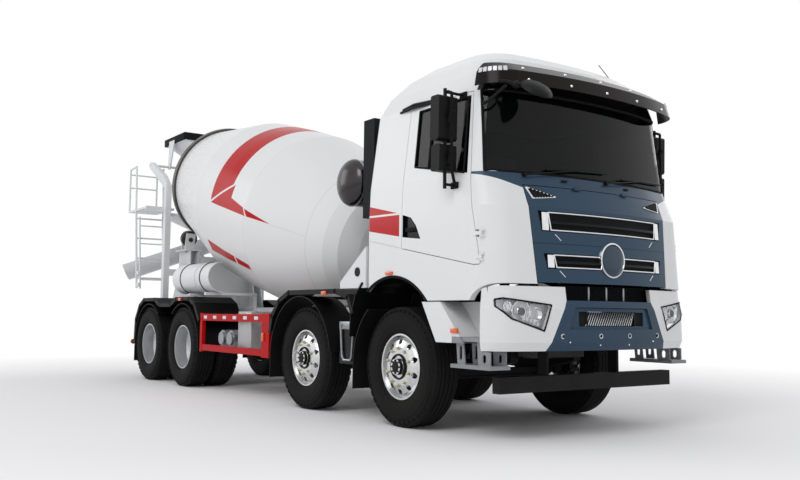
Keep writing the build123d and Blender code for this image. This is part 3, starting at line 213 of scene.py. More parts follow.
def metal(name, code, roughness, wear, depth=0.06, metallic=1.0):
    """Bare or plated metal: a cloudy finish about 0.1 m wide with fine marks."""
    tree, place = begin(name, code, roughness, Metallic=metallic)
    cloud = add(tree, NOISE, {"Vector": place, "Scale": 9.0, "Detail": 5.0, "Roughness": 0.65})
    ends = roughness - wear, roughness + wear
    add(tree, RANGE, [cloud, 0.25, 0.75, *ends], into="Roughness")
    value = add(tree, RANGE, [cloud, 0.3, 0.7, 0.86, 1.05])
    add(tree, SHADE, {"Color": linear(code), "Value": value}, into="Base Color")
    fine = add(tree, NOISE, {"Vector": place, "Scale": 400.0, "Detail": 2.0})
    add(tree, BUMP, {"Height": fine, "Strength": depth, "Distance": 0.0005}, into="Normal")


# Forged and polished aluminium of the front wheels: bright and softly clouded.
metal("polished_alloy", "dcdddd", 0.2, 0.06)
# Silver-painted steel of the rear wheels: brighter than bare steel, satin.
metal("silver_wheel_paint", "c3c5c7", 0.36, 0.06, metallic=0.6)
# Polished stainless steel of the water tank: mirrors the ground darkly; its dark colour is a painted
# reflection.
metal("stainless_painted_dark_reflection", "464445", 0.2, 0.05)
# Greased steel of the ring and the rollers: dark brown-grey with a smeared shine.
metal("greased_steel", "5a5753", 0.38, 0.1)
# Chrome-plated trim and lamp bowls: a near mirror.
metal("chrome_trim", "e4e6e8", 0.09, 0.03, depth=0.0)
# Silvered glass of the mirrors: a clean mirror.
metal("mirror_silver", "dfe4e6", 0.04, 0.01, depth=0.0)
# Passivated steel of the front wheel nuts: pale brass, bright.
metal("passivated_steel", "cbc6b0", 0.3, 0.03)
# Zinc-plated steel of air tanks, straps, vent bars and rear wheel nuts: a soft light grey.
metal("zinc_plate", "9ea2a5", 0.36, 0.08)

# Checker plate: aluminium sheet with raised lozenges in crossing rows about 30 mm apart.
tree, place = begin("checker_plate", "b9bbbd", 0.34, Metallic=1.0)
x, y, z = add(tree, AXES, [place]).node.outputs
across = add(tree, MATHS, [x, y], operation="ADD")
waves = []
for turn in (1.0, -1.0):
    slant = add(tree, MATHS, [z, turn, across], operation="MULTIPLY_ADD")
    phase = add(tree, MATHS, [slant, 2 * math.pi / 0.042], operation="MULTIPLY")
    waves.append(add(tree, MATHS, [phase], operation="SINE"))
both = add(tree, MATHS, [add(tree, MATHS, waves, operation="MULTIPLY")], operation="ABSOLUTE")
height = add(tree, MATHS, [both, 3.0], operation="POWER")
add(tree, BUMP, {"Height": height, "Strength": 1.0, "Distance": 0.008}, into="Normal")
stain = add(tree, NOISE, {"Vector": place, "Scale": 12.0, "Detail": 5.0})
add(tree, RANGE, [stain, 0.3, 0.7, 0.26, 0.5], into="Roughness")

# Tinted window glass: near black from outside, and a fifth of the light passes.
tree, place = begin("window_glass", "07090a", 0.03, Alpha=0.8, Specular_IOR_Level=0.2)
film = add(tree, NOISE, {"Vector": place, "Scale": 5.0, "Detail": 4.0})
add(tree, RANGE, [film, 0.4, 0.8, 0.02, 0.06], into="Roughness")
# Clear polycarbonate of the lamp covers: a thin bright gloss over what lies behind.
tree, place = begin("lamp_cover", "eef2f4", 0.03, Alpha=0.16, Coat_Weight=1.0, Coat_Roughness=0.02)
film = add(tree, NOISE, {"Vector": place, "Scale": 20.0, "Detail": 3.0})
add(tree, RANGE, [film, 0.4, 0.8, 0.02, 0.08], into="Roughness")


def lens(name, code):
    """Moulded acrylic lens: a deep clear colour over prisms about 6 mm wide."""
    tree, place = begin(name, code, 0.12, Coat_Weight=0.6, Coat_Roughness=0.03)
    cells = add(tree, CELLS, {"Vector": place, "Scale": 160.0})
    value = add(tree, RANGE, [cells, 0.0, 0.7, 1.15, 0.8])
    add(tree, SHADE, {"Color": linear(code), "Value": value}, into="Base Color")
    add(tree, BUMP, {"Height": cells, "Strength": 0.3, "Distance": 0.001}, into="Normal")


# Orange side markers and turn signals: a warm orange that stays bright in shade.
lens("orange_lens", "ee5f12")
# Red tail lamps: a dark ruby.
lens("red_lens", "a80f18")
# White reflectors, lamp strips and the blank plate: a cool white.
lens("white_reflector", "dfe3e6")

# Expanded steel mesh painted black: lozenge holes about 20 mm long, dark gaps of painted shade in a paler
# net.
tree, place = begin("black_mesh", "1a1c1e", 0.5, Specular_IOR_Level=0.1)
x, y, z = add(tree, AXES, [place]).node.outputs
across = add(tree, MATHS, [x, y], operation="ADD")
rows = []
for turn in (1.7, -1.7):
    slant = add(tree, MATHS, [z, turn, across], operation="MULTIPLY_ADD")
    phase = add(tree, MATHS, [slant, math.pi / 0.03], operation="MULTIPLY")
    rows.append(add(tree, MATHS, [add(tree, MATHS, [phase], operation="SINE")], operation="ABSOLUTE"))
hole = add(tree, MATHS, rows, operation="MULTIPLY")
# The holes are painted near black: painted shade for the dark that shows through them.
deep = add(tree, RANGE, [hole, 0.15, 0.4, 0.0, 1.0])
net = {0: deep, 6: linear("2c2f32"), 7: linear("020202")}
add(tree, MIX, net, 2, "Base Color", data_type="RGBA")
add(tree, BUMP, {"Height": hole, "Strength": 1.0, "Distance": -0.006}, into="Normal")

# Woven seat cloth: dark grey threads, drawn 4 mm apart so that the weave shows.
tree, place = begin("seat_cloth", "1d1e20", 0.9, Sheen_Weight=0.3)
x, y, z = add(tree, AXES, [place]).node.outputs
threads = []
for value in (y, add(tree, MATHS, [x, z], operation="ADD")):
    phase = add(tree, MATHS, [value, 2 * math.pi / 0.004], operation="MULTIPLY")
    threads.append(add(tree, MATHS, [phase], operation="SINE"))
weave = add(tree, MATHS, threads, operation="MULTIPLY")
share = add(tree, RANGE, [weave, -1.0, 1.0, 0.0, 1.0])
cloth = {0: share, 6: linear("141517"), 7: linear("292a2e")}
add(tree, MIX, cloth, 2, "Base Color", data_type="RGBA")
add(tree, BUMP, {"Height": weave, "Strength": 0.3, "Distance": 0.001}, into="Normal")


# ---- enamels with stripes and two colours -------------------------------------------------
# The wheel arch of the cab: the radius of its lip, and its centre's height.
ARCH_R, ARCH_Z = 0.722, 0.632
# The two slots of the lid: lower and upper edge, and half width.
SLOTS = ((1.700, 1.870, 0.77), (1.395, 1.520, 0.735))
WHITE, BLUE, RED, DARK, ZINC = "e6e7e7", "30465a", "b90710", "090a0b", "8d9194"
ENAMEL_ROUGHNESS, ENAMEL_DUST = 0.24, 0.07


def enamel(name, areas, metallic=0.0):
    """Body enamel, white with areas of other colours laid over it in order."""
    coats = {"Coat_Weight": 0.1, "Coat_Roughness": 0.05, "Specular_IOR_Level": 0.12}
    tree, place = begin(name, WHITE, ENAMEL_ROUGHNESS, Metallic=metallic, **coats)
    x, y, z = add(tree, AXES, [place]).node.outputs
    run = add(tree, MATHS, [x, AXLE], operation="SUBTRACT")
    wide = add(tree, MATHS, [y], operation="ABSOLUTE")
    colour = linear(WHITE)
    for mask, code in areas(tree, run, wide, z, y):
        colour = add(tree, MIX, {0: mask, 6: colour, 7: linear(code)}, out=2, data_type="RGBA")
    sprayed(tree, place, colour, ENAMEL_DUST, ENAMEL_ROUGHNESS)


# Each function below yields masks with their colours. It is given x counted from the first axle
# (run), the distance from the middle (wide), the height z and the side y.


def cab_areas(tree, run, wide, z, y):
    """Blue-grey cowl, the red flash with its white line, black handle pocket, liner and trim inside."""
    outside = inside(tree, wide, 1.19, 2.0)
    cowl_edge = sloped(tree, wide, z, (0.88, 2.065), 0.315)
    yield all_of(tree, (cowl_edge, 0.0, 3.0), (z, 2.0, 2.187), (run, 1.06, 2.0)), BLUE
    low = inside(tree, sloped(tree, run, z, (-0.422, 1.801), -0.1651), 0.0, 3.0)
    high = inside(tree, sloped(tree, run, z, (-0.414, 2.036), -0.2146), -3.0, 0.0)
    gap = inside(tree, sloped(tree, run, z, (-0.44, 1.933), -0.0224), -0.009, 0.009)
    flash = all_of(tree, low, high, (run, -0.45, 0.11), outside)
    yield without(tree, flash, gap), RED
    pocket = all_of(tree, (run, 0.155, 0.435), (z, 1.665, 1.91))
    yield all_of(tree, pocket, (wide, 1.19, 1.2425)), DARK
    offset = add(tree, MATHS, [z, ARCH_Z], operation="SUBTRACT")
    reach = add(tree, VECTOR, [add(tree, "ShaderNodeCombineXYZ", [run, offset])], "Value", operation="LENGTH")
    yield inside(tree, reach, -1.0, ARCH_R + 0.0125), DARK
    yield all_of(tree, (z, 2.887, 3.03), (run, 1.03, 2.0)), DARK
    lean = add(tree, RANGE, [z, 1.9, 2.9, 1.205, 1.1])
    yield all_of(tree, below(tree, wide, lean), (run, -0.385, 1.02), (z, 1.385, 2.95)), "1c1c1e"
    under = all_of(tree, (z, 1.0, 1.384), (wide, -1.0, 1.187))
    yield all_of(tree, under, (run, -0.385, 1.16)), DARK


def lid_areas(tree, run, wide, z, y):
    """Blue-grey with a dark seam; the walls and bars of the slots are black."""
    yield inside(tree, z, 0.0, 9.0), BLUE
    yield inside(tree, z, 1.598, 1.604), "1c2832"
    for low, high, half in SLOTS:
        low, high = low + 0.0005, high - 0.0005
        slant = add(tree, RANGE, [z, low, high, half - 0.03, half])
        yield all_of(tree, (z, low, high, 0.0003), below(tree, wide, slant, 0.0003)), DARK


def bumper_areas(tree, run, wide, z, y):
    """White corners, blue-grey middle between slanted seams, black behind the openings."""
    edge = add(tree, RANGE, [z, 0.731, 1.140, 0.735, 0.530])
    past = add(tree, MATHS, [wide, edge], operation="SUBTRACT")
    yield inside(tree, past, -3.0, 0.00015, 0.0001), BLUE
    yield all_of(tree, (wide, -1.0, 0.53), (z, 1.143, 2.0)), DARK
    yield all_of(tree, (wide, -1.0, 0.4045, 0.0003), (z, 0.9305, 1.0495, 0.0003)), DARK
    yield all_of(tree, (run, -9.0, 1.25), (wide, -1.0, 1.19)), DARK


def step_areas(tree, run, wide, z, y):
    """White fairing; treads and hangers are zinc grey, and what lies behind is black."""
    yield inside(tree, z, -1.0, 0.7845), ZINC
    yield all_of(tree, (z, -1.0, 0.838), (run, 0.858, 3.0)), ZINC
    yield inside(tree, wide, -1.0, 0.984), DARK


def box_areas(tree, run, wide, z, y):
    """Black boxes; the fuel tank on the left is the grey of rolled aluminium."""
    yield inside(tree, z, -1.0, 9.0), DARK
    yield all_of(tree, (y, 0.44, 3.0), (run, -5.0, -2.5)), "aeb1b3"


# White cab enamel with the blue-grey cowl, the red flash, and dark trim inside.
enamel("cab_enamel", cab_areas)
# Blue-grey enamel of the front lid, a little metallic, with black slots.
enamel("lid_enamel", lid_areas, metallic=0.25)
# Bumper enamel: white corners, blue-grey middle and black openings.
enamel("bumper_enamel", bumper_areas)
# Enamel of the entry: a white fairing over zinc-grey steps.
enamel("step_enamel", step_areas)
# Enamel of the side boxes: black, and the fuel tank's pale grey of rolled aluminium.
enamel("box_enamel", box_areas)

# Drum enamel: white over rolled plate, a red band round the widest part that folds into an arrow
# on each side, the seams of the plates, and dried cement that runs from the mouth. Distances are
# along the axis from the gearbox's end, and angles are in degrees from the drum's top.
tree, place = begin("drum_enamel", WHITE, 0.3, Specular_IOR_Level=0.1)
y = add(tree, AXES, [place], out=1)
local = add(tree, VECTOR, [place, DRUM_AT], operation="SUBTRACT")
along_drum = add(tree, VECTOR, [local, DRUM_AXIS], out="Value", operation="DOT_PRODUCT")
raised = add(tree, VECTOR, [local, DRUM_UP], out="Value", operation="DOT_PRODUCT")
turn = add(tree, MATHS, [add(tree, MATHS, [y], operation="ABSOLUTE"), raised], operation="ARCTAN2")
angle = add(tree, MATHS, [turn], operation="DEGREES")
past_fold = sloped(tree, along_drum, angle, (2.33, 72.4), 28.0)
band = all_of(tree, (along_drum, 2.36, 2.90, 0.004), (past_fold, -400.0, 0.0, 0.15))
under_line = inside(tree, sloped(tree, along_drum, angle, (1.35, 89.5), 0.1), -400.0, 0.0, 0.15)
below_line = inside(tree, sloped(tree, along_drum, angle, (2.30, 81.8), -8.0), 0.0, 400.0, 0.15)
tail = all_of(tree, below_line, (along_drum, 1.35, 2.302, 0.003))
head = all_of(tree, (past_fold, 1.6, 400.0, 0.15), (along_drum, 2.298, 2.92, 0.003))
notch = inside(tree, sloped(tree, along_drum, angle, (1.942, 83.3), -53.0), -0.8, 0.8, 0.15)
arrow = all_of(tree, add(tree, MATHS, [tail, head], operation="MAXIMUM"), under_line)
arrow = without(tree, arrow, notch)
low_edge = inside(tree, sloped(tree, along_drum, angle, (2.40, 121.0), -4.0), 0.0, 9.0, 0.15)
lower = all_of(tree, (along_drum, 1.9, 3.15, 0.004), low_edge, (angle, 100.0, 127.0, 0.2))
low_gap = inside(tree, along_drum, 2.28, 2.32, 0.003)
lower = without(tree, lower, low_gap)
red = add(tree, MATHS, [add(tree, MATHS, [band, arrow], operation="MAXIMUM"), lower], operation="MAXIMUM")
colour = add(tree, MIX, {0: red, 6: linear(WHITE), 7: linear(RED)}, out=2, data_type="RGBA")
rings = [inside(tree, along_drum, low, low + 0.005) for low in (1.873, 0.687)]
level = all_of(tree, (angle, 89.8, 90.0, 0.05), (along_drum, 0.688, 1.35))
seams = add(tree, MATHS, [add(tree, MATHS, rings, operation="MAXIMUM"), level], operation="MAXIMUM")
grey_seams = {0: all_of(tree, seams, 0.35), 6: colour, 7: linear("4a4a48")}
colour = add(tree, MIX, grey_seams, out=2, data_type="RGBA")
scaled = [add(tree, MATHS, pair, operation="MULTIPLY") for pair in ([along_drum, 1.6], [angle, 0.25])]
run_down = add(tree, "ShaderNodeCombineXYZ", scaled)
streak = add(tree, NOISE, {"Vector": run_down, "Scale": 2.2, "Detail": 6.0, "Roughness": 0.65})
streak = add(tree, RANGE, [streak, 0.5, 0.72, 0.0, 1.0])
cement = all_of(tree, streak, add(tree, RANGE, [along_drum, 3.7, 5.1, 0.0, 0.7]))
dried = {0: cement, 6: colour, 7: linear("a3a099")}
add(tree, MIX, dried, 2, "Base Color", data_type="RGBA")
add(tree, RANGE, [cement, 0.0, 1.0, 0.26, 0.8], into="Roughness")
waves = add(tree, NOISE, {"Vector": place, "Scale": 5.0, "Detail": 2.0})
add(tree, BUMP, {"Height": waves, "Strength": 0.1, "Distance": 0.01}, into="Normal")

# ---- materials on the CAD nodes -----------------------------------------------------------
# Each finish with what its nodes' names start with; the first that fits is taken.
FINISHES = (
    ("window_glass", ("cab_glass", "door_glass")),
    ("cab_enamel", ("cab_shell", "door_")),
    ("lid_enamel", "front_panel"),
    ("bumper_enamel", "bumper"),
    ("lamp_cover", "headlamps"),
    ("smoked_acrylic", "sun_visor"),
    ("cab_trim", "dashboard"),
    ("seat_cloth", "seats"),
    ("black_mesh", "air_intake"),
    ("step_enamel", "entry_steps"),
    ("box_enamel", "side_boxes"),
    ("black_plastic", ("mudguards", "mirror_")),
    ("red_enamel", "side_guards"),
    ("zinc_plate", "air_tanks"),
    ("casting_grey", ("powertrain", "drum_gearbox")),
    ("drum_enamel", "drum_shell"),
    ("greased_steel", ("drum_ring", "roller_")),
    ("stainless_painted_dark_reflection", "water_tank"),
    ("tyre_rubber", ("front_tyre", "rear_tyres")),
    ("polished_alloy", "front_rim"),
    ("silver_wheel_paint", "rear_rims"),
    ("white_frame_paint", ("mixer_frame", "charging_hopper", "discharge_funnel", "main_chute",
                           "chute_swivel", "spare_chutes", "platform_ladder", "ladder_lower")),
    ("chassis_black", ""),
)
for name, node in nodes.items():
    finish = next(finish for finish, starts in FINISHES if name.startswith(starts))
    node.data.materials.clear()
    node.data.materials.append(MAT[finish])
    for face in node.data.polygons:
        face.material_index = 0


# ---- mesh helpers -------------------------------------------------------------------------
def at(x, y, z):
    """A place whose x is counted from the first axle."""
    return Vector((AXLE + x, y, z))


def show(name, data):
    """Puts data into the scene as an object."""
    made = bpy.data.objects.new(name, data)
    bpy.context.scene.collection.objects.link(made)
    return made


def piece(name, mesh, finish, body="chassis"):
    """Turns a bmesh into a finished object that rides on a body."""
    bmesh.ops.recalc_face_normals(mesh, faces=mesh.faces[:])
    data = bpy.data.meshes.new(name)
    mesh.to_mesh(data)
    mesh.free()
    made = show(name, data)
    data.materials.append(MAT[finish])
    for face in data.polygons:
        face.use_smooth = True
    data.set_sharp_from_angle(angle=math.radians(35.0))
    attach(made, body)
    return made


def cuboid(mesh, low, high, bevel=0.0, segments=2):
    """Adds a box between two corners, with its edges rounded."""
    low, high = Vector(low), Vector(high)
    size = Matrix.Diagonal((*map(abs, high - low), 1.0))
    made = bmesh.ops.create_cube(mesh, size=1.0, matrix=Matrix.Translation((low + high) / 2) @ size)
    if bevel:
        edges = list({edge for vert in made["verts"] for edge in vert.link_edges})
        bmesh.ops.bevel(
            mesh, geom=edges, offset=bevel, segments=segments, profile=0.5, affect="EDGES", material=-1
        )


def twins(mesh, low, high, bevel=0.0):
    """Adds a box on each side of the truck, from two corners with x counted from the first axle."""
    for side in (-1, 1):
        cuboid(mesh, at(low[0], side * low[1], low[2]), at(high[0], side * high[1], high[2]), bevel)


def twin_piece(name, finish, body, bevel, *boxes):
    """A piece of boxes that stand on both sides."""
    mesh = bmesh.new()
    for low, high in boxes:
        twins(mesh, low, high, bevel)
    piece(name, mesh, finish, body)


def ball(mesh, place, radius, subdivisions=2):
    """Adds a ball."""
    matrix = Matrix.Translation(place)
    bmesh.ops.create_icosphere(mesh, subdivisions=subdivisions, radius=radius, matrix=matrix)


def bar(mesh, start, end, radius, sides=12, end_radius=None):
    """Adds a round bar or cone between two places."""
    start, end = Vector(start), Vector(end)
    turn = (end - start).to_track_quat("Z", "Y").to_matrix().to_4x4()
    place = Matrix.Translation((start + end) / 2) @ turn
    radii = {"radius1": radius, "radius2": end_radius or radius}
    length = (end - start).length
    bmesh.ops.create_cone(mesh, cap_ends=True, segments=sides, depth=length, matrix=place, **radii)


def rail(mesh, points, radius, sides=8, shut=False):
    """Adds round bars from place to place, with a ball at each bend."""
    places = [Vector(point) for point in points]
    if shut:
        places.append(places[0])
    for start, end in zip(places, places[1:]):
        bar(mesh, start, end, radius, sides)
    for place in places[1:] if shut else places[1:-1]:
        ball(mesh, place, radius, 1)


def turned(mesh, points, centre, axis, steps=64):
    """Spins a profile of (radius, distance along the axis) points round an axis line."""
    axis, centre = Vector(axis).normalized(), Vector(centre)
    side = axis.orthogonal().normalized()
    verts = [mesh.verts.new(centre + side * radius + axis * reach) for radius, reach in points]
    edges = [mesh.edges.new(ends) for ends in zip(verts, verts[1:])]
    bmesh.ops.spin(
        mesh, geom=verts + edges, cent=centre, axis=axis, angle=2 * math.pi, steps=steps, use_merge=True
    )
    bmesh.ops.remove_doubles(mesh, verts=mesh.verts[:], dist=0.0001)


# The body's face from above is a bow with rounded corners. Rows: height, front from the first
# axle, half width.
BOW_R, CORNER_R = 4.2, 0.3
CAB_FACE = ((1.134, 1.5, 1.245), (1.275, 1.5, 1.245), (1.9, 1.455, 1.245), (2.19, 1.345, 1.232),
            (2.9, 1.29, 1.14), (3.06, 1.25, 1.085))
BUMPER_FACE = ((0.731, 1.5, 1.245), (0.8, 1.53, 1.245), (1.07, 1.522, 1.245), (1.15, 1.503, 1.243),
               (1.25, 1.49, 1.24))
VISOR_FACE = ((2.903, 1.47, 1.185), (3.02, 1.44, 1.165), (3.114, 1.3, 1.135))


def row_at(table, z):
    """The front and the half width of a face at a height."""
    row = table[0]
    for low, high in zip(table, table[1:]):
        if low[0] <= z:
            share = min((z - low[0]) / (high[0] - low[0]), 1.0)
            row = [a + share * (b - a) for a, b in zip(low, high)]
    return row[1:]


def side_at(x, z, out, side):
    """A place on the straight side of the cab, so far out from it."""
    return at(x, side * (row_at(CAB_FACE, z)[1] + out), z)


def face_at(table, y, z, out=0.0):
    """A place on a face at a distance across and a height, moved out by a little."""
    front, half = row_at(table, z)
    corner_y = half - CORNER_R
    inner_r = BOW_R - CORNER_R
    if abs(y) <= corner_y * BOW_R / inner_r:
        x = math.sqrt(BOW_R**2 - y * y)
    else:
        corner = math.sqrt(max(CORNER_R**2 - (abs(y) - corner_y) ** 2, 0.0))
        x = math.sqrt(inner_r**2 - corner_y**2) + corner
    return at(front - BOW_R + x + out, y, z)


def face_sheet(mesh, table, y0, y1, z0, z1, depth):
    """A thin sheet that follows the face, so far behind it."""
    made = bmesh.ops.create_grid(mesh, x_segments=24, y_segments=3, size=1.0)
    for vert in made["verts"]:
        y, z = y0 + (vert.co.x + 1) / 2 * (y1 - y0), z0 + (vert.co.y + 1) / 2 * (z1 - z0)
        vert.co = face_at(table, y, z, -depth)
    faces = list({face for vert in made["verts"] for face in vert.link_faces})
    bmesh.ops.solidify(mesh, geom=faces, thickness=0.002)


def face_line(table, start, end, steps, out):
    """Places along the face between two (y, z) points."""
    (y0, z0), (y1, z1) = start, end
    shares = [index / steps for index in range(steps + 1)]
    return [face_at(table, y0 + s * (y1 - y0), z0 + s * (z1 - z0), out) for s in shares]


def outline_on(table, corners, steps=12, out=0.0):
    """Places along the face round a closed outline of (y, z) corners."""
    places = []
    for start, end in zip(corners, corners[1:] + corners[:1]):
        places += face_line(table, start, end, steps if abs(start[0] - end[0]) > 0.3 else 2, out)[:-1]
    return places


def slabs(mesh, profile, low_y, high_y, thick):
    """Flat plates end to end along a profile of (x, z) places, on both sides of the truck."""
    for side in (-1, 1):
        for (x0, z0), (x1, z1) in zip(profile, profile[1:]):
            middle = at((x0 + x1) / 2, side * (low_y + high_y) / 2, (z0 + z1) / 2)
            size = (math.hypot(x1 - x0, z1 - z0) + thick * 0.5, high_y - low_y, thick, 1)
            turn = Matrix.Translation(middle) @ Matrix.Rotation(-math.atan2(z1 - z0, x1 - x0), 4, "Y")
            bmesh.ops.create_cube(mesh, size=1.0, matrix=turn @ Matrix.Diagonal(size))


# ---- wheels -------------------------------------------------------------------------------
low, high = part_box("front_tyre_1_left")
TYRE_R, TYRE_HALF = (high.z - low.z) / 2, (high.y - low.y) / 2
RIM_R = 0.298
SHOULDER_LUGS = 44
NUT_CIRCLE, NUTS = 0.1675, 10
# Hub profiles: radius, distance out from the wheel's disc.
FRONT_HUB = [(0.0, 0.0385), (0.05, 0.0385), (0.07, 0.0325), (0.0735, 0.0245), (0.0735, 0.0025)]
FRONT_COLLAR = [(0.101, -0.001), (0.101, 0.012), (0.112, 0.016), (0.118, 0.002)]
REAR_HUB = [(0.0, 0.088), (0.05, 0.088), (0.078, 0.08), (0.088, 0.06), (0.092, 0.0), (0.106, -0.004)]


def tyre_mesh(mesh, x, y):
    """A road tyre: beads, side walls with rings, rounded shoulders, and a tread with four grooves."""
    r, centre = TYRE_R, (x, y, WHEEL_Z)
    side = [(RIM_R + 0.001, 0.74), (RIM_R + 0.012, 0.80), (RIM_R + 0.03, 0.86), (RIM_R + 0.033, 0.90),
            (RIM_R + 0.045, 0.91), (RIM_R + 0.075, 0.985), (RIM_R + 0.10, 1.0), (r - 0.10, 0.985),
            (r - 0.075, 0.97), (r - 0.072, 0.945), (r - 0.045, 0.92), (r - 0.018, 0.87), (r - 0.003, 0.79)]
    tread = []
    for groove in (-0.45, -0.15, 0.15, 0.45):
        tread += [(r, groove - 0.035), (r - 0.014, groove - 0.018), (r - 0.014, groove + 0.018),
                  (r, groove + 0.035)]
    profile = [(radius, -share) for radius, share in side] + tread + side[::-1]
    turned(mesh, [(radius, share * TYRE_HALF) for radius, share in profile], centre, (0, 1, 0), 120)
    size = Matrix.Diagonal((0.044, 0.012, 0.052, 1))
    for out in (-1, 1):
        shoulder = Matrix.Translation((0, out * 0.845 * TYRE_HALF, r - 0.026))
        lug = shoulder @ Matrix.Rotation(out * 0.9, 4, "X") @ size
        for index in range(SHOULDER_LUGS):
            turn = Matrix.Rotation(2 * math.pi * index / SHOULDER_LUGS, 4, "Y")
            bmesh.ops.create_cube(mesh, size=1.0, matrix=Matrix.Translation(centre) @ turn @ lug)


def round_hub(x, y, radius, count, start=0.0):
    """Places on a circle round an axle's line."""
    for index in range(count):
        angle = 2 * math.pi * (index + start) / count
        yield Vector((x + radius * math.cos(angle), y, WHEEL_Z + radius * math.sin(angle)))


def wheel_nuts(mesh, x, y, side, radius, length):
    """Wheel nuts, each with its washer and the end of its stud."""
    out = Vector((0, side, 0))
    for place in round_hub(x, y, NUT_CIRCLE, NUTS, 0.5):
        bar(mesh, place, place + out * length, radius, 6)
        bar(mesh, place + out * length, place + out * (length + 0.01), radius * 0.55, 10)
        bar(mesh, place - out * 0.002, place + out * 0.004, radius * 1.35, 16)


def hub_screws(mesh, x, y, side, circle, count, radius):
    """Six-sided screw heads on a hub's cover."""
    for place in round_hub(x, y, circle, count):
        bar(mesh, place, place + Vector((0, side * 0.012, 0)), radius, 6)


for number in (1, 2):
    for label, side in SIDES:
        key = f"{number}_{label}"
        x = AXLES[number - 1]
        low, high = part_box(f"front_tyre_{key}")
        mesh = bmesh.new()
        tyre_mesh(mesh, x, (low.y + high.y) / 2)
        made = piece(f"tyre_{key}", mesh, "tyre_rubber", f"wheel_{key}")
        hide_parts(f"front_tyre_{key}")
        low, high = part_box(f"front_rim_{key}")
        face = side * (max(abs(low.y), abs(high.y)) - 0.038)
        mesh = bmesh.new()
        wheel_nuts(mesh, x, face, side, 0.0135, 0.018)
        piece(f"wheel_nuts_{key}", mesh, "passivated_steel", f"wheel_{key}")
        mesh = bmesh.new()
        for profile in (FRONT_HUB, FRONT_COLLAR):
            turned(mesh, profile, (x, face, WHEEL_Z), (0, side, 0), 48)
        hub_screws(mesh, x, face + side * 0.034, side, 0.058, 8, 0.008)
        piece(f"hub_cover_{key}", mesh, "chassis_black", f"wheel_{key}")

for number in (3, 4):
    for label, side in SIDES:
        key = f"{number}_{label}"
        x = AXLES[number - 1]
        low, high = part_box(f"rear_tyres_{key}")
        mesh = bmesh.new()
        tyre_mesh(mesh, x, low.y + TYRE_HALF)
        tyre_mesh(mesh, x, high.y - TYRE_HALF)
        made = piece(f"tyres_{key}", mesh, "tyre_rubber", f"wheels_{key}")
        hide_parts(f"rear_tyres_{key}")
        outer = side * (max(abs(low.y), abs(high.y)) - TYRE_HALF)
        disc = outer - side * 0.138
        mesh = bmesh.new()
        wheel_nuts(mesh, x, disc + side * 0.018, side, 0.0165, 0.03)
        piece(f"wheel_nuts_{key}", mesh, "zinc_plate", f"wheels_{key}")
        mesh = bmesh.new()
        turned(mesh, REAR_HUB, (x, disc + side * 0.02, WHEEL_Z), (0, side, 0), 48)
        hub_screws(mesh, x, disc + side * 0.098, side, 0.066, 10, 0.007)
        piece(f"hub_cover_{key}", mesh, "silver_wheel_paint", f"wheels_{key}")


# ---- front of the cab ---------------------------------------------------------------------
# The two slots of the lid: expanded mesh behind chrome frames, with a bright block at each end.
SLOT_FRAME = 0.012
mesh = bmesh.new()
for low, high, half in SLOTS:
    face_sheet(mesh, CAB_FACE, 0.01 - half, half - 0.01, low, high, 0.022)
piece("lid_mesh", mesh, "black_mesh", "front_lid")
mesh = bmesh.new()
for low, high, half in SLOTS:
    end, low, high = half - 0.10, low + SLOT_FRAME, high - SLOT_FRAME
    corners = [(-end, high), (end, high), (end - 0.02, low), (0.02 - end, low)]
    rail(mesh, outline_on(CAB_FACE, corners, out=0.001), 0.0065, shut=True)
    for side in (-1, 1):
        face_sheet(mesh, CAB_FACE, *sorted((side * (end + 0.002), side * (half - 0.035))), low, high, -0.003)
for side in (-1, 1):
    for y, z in ((0.585, 1.655), (0.56, 1.355)):
        top = face_at(CAB_FACE, side * (y + 0.028), z + 0.025, 0.001)
        bar(mesh, top, face_at(CAB_FACE, side * (y - 0.028), z - 0.025, 0.001), 0.004)
piece("lid_chrome", mesh, "chrome_trim", "front_lid")

# Corner vents of the lid: a chrome triangle with dark louvres.
frames, louvres = bmesh.new(), bmesh.new()
for side in (-1, 1):
    corners = ((0.565, 1.995), (0.83, 2.062), (0.79, 1.972))
    ring = [face_at(CAB_FACE, side * y, z, 0.002) for y, z in corners]
    rail(frames, ring, 0.0075, shut=True)
    for step in range(7):
        share = 0.12 + step * 0.125
        bar(louvres, ring[0].lerp(ring[1], share), ring[0].lerp(ring[2], share), 0.0155, 8)
piece("vent_frames", frames, "chrome_trim", "front_lid")
piece("vent_louvres", louvres, "black_plastic", "front_lid")

# Plain round boss in the middle of the lower slot, with its chrome ring.
BOSS = [(0.0, 0.018), (0.10, 0.018), (0.135, 0.013), (0.15, 0.0), (0.15, -0.03)]
BOSS_RING = [(0.134, 0.012), (0.138, 0.024), (0.150, 0.022), (0.155, 0.0), (0.152, -0.03)]
boss_at = face_at(CAB_FACE, 0.0, 1.487)
mesh, ring = bmesh.new(), bmesh.new()
turned(mesh, BOSS, boss_at, (1, 0, 0))
turned(ring, BOSS_RING, boss_at, (1, 0, 0))
piece("lid_boss", mesh, "lid_boss_enamel", "front_lid")
piece("lid_boss_ring", ring, "chrome_trim", "front_lid")

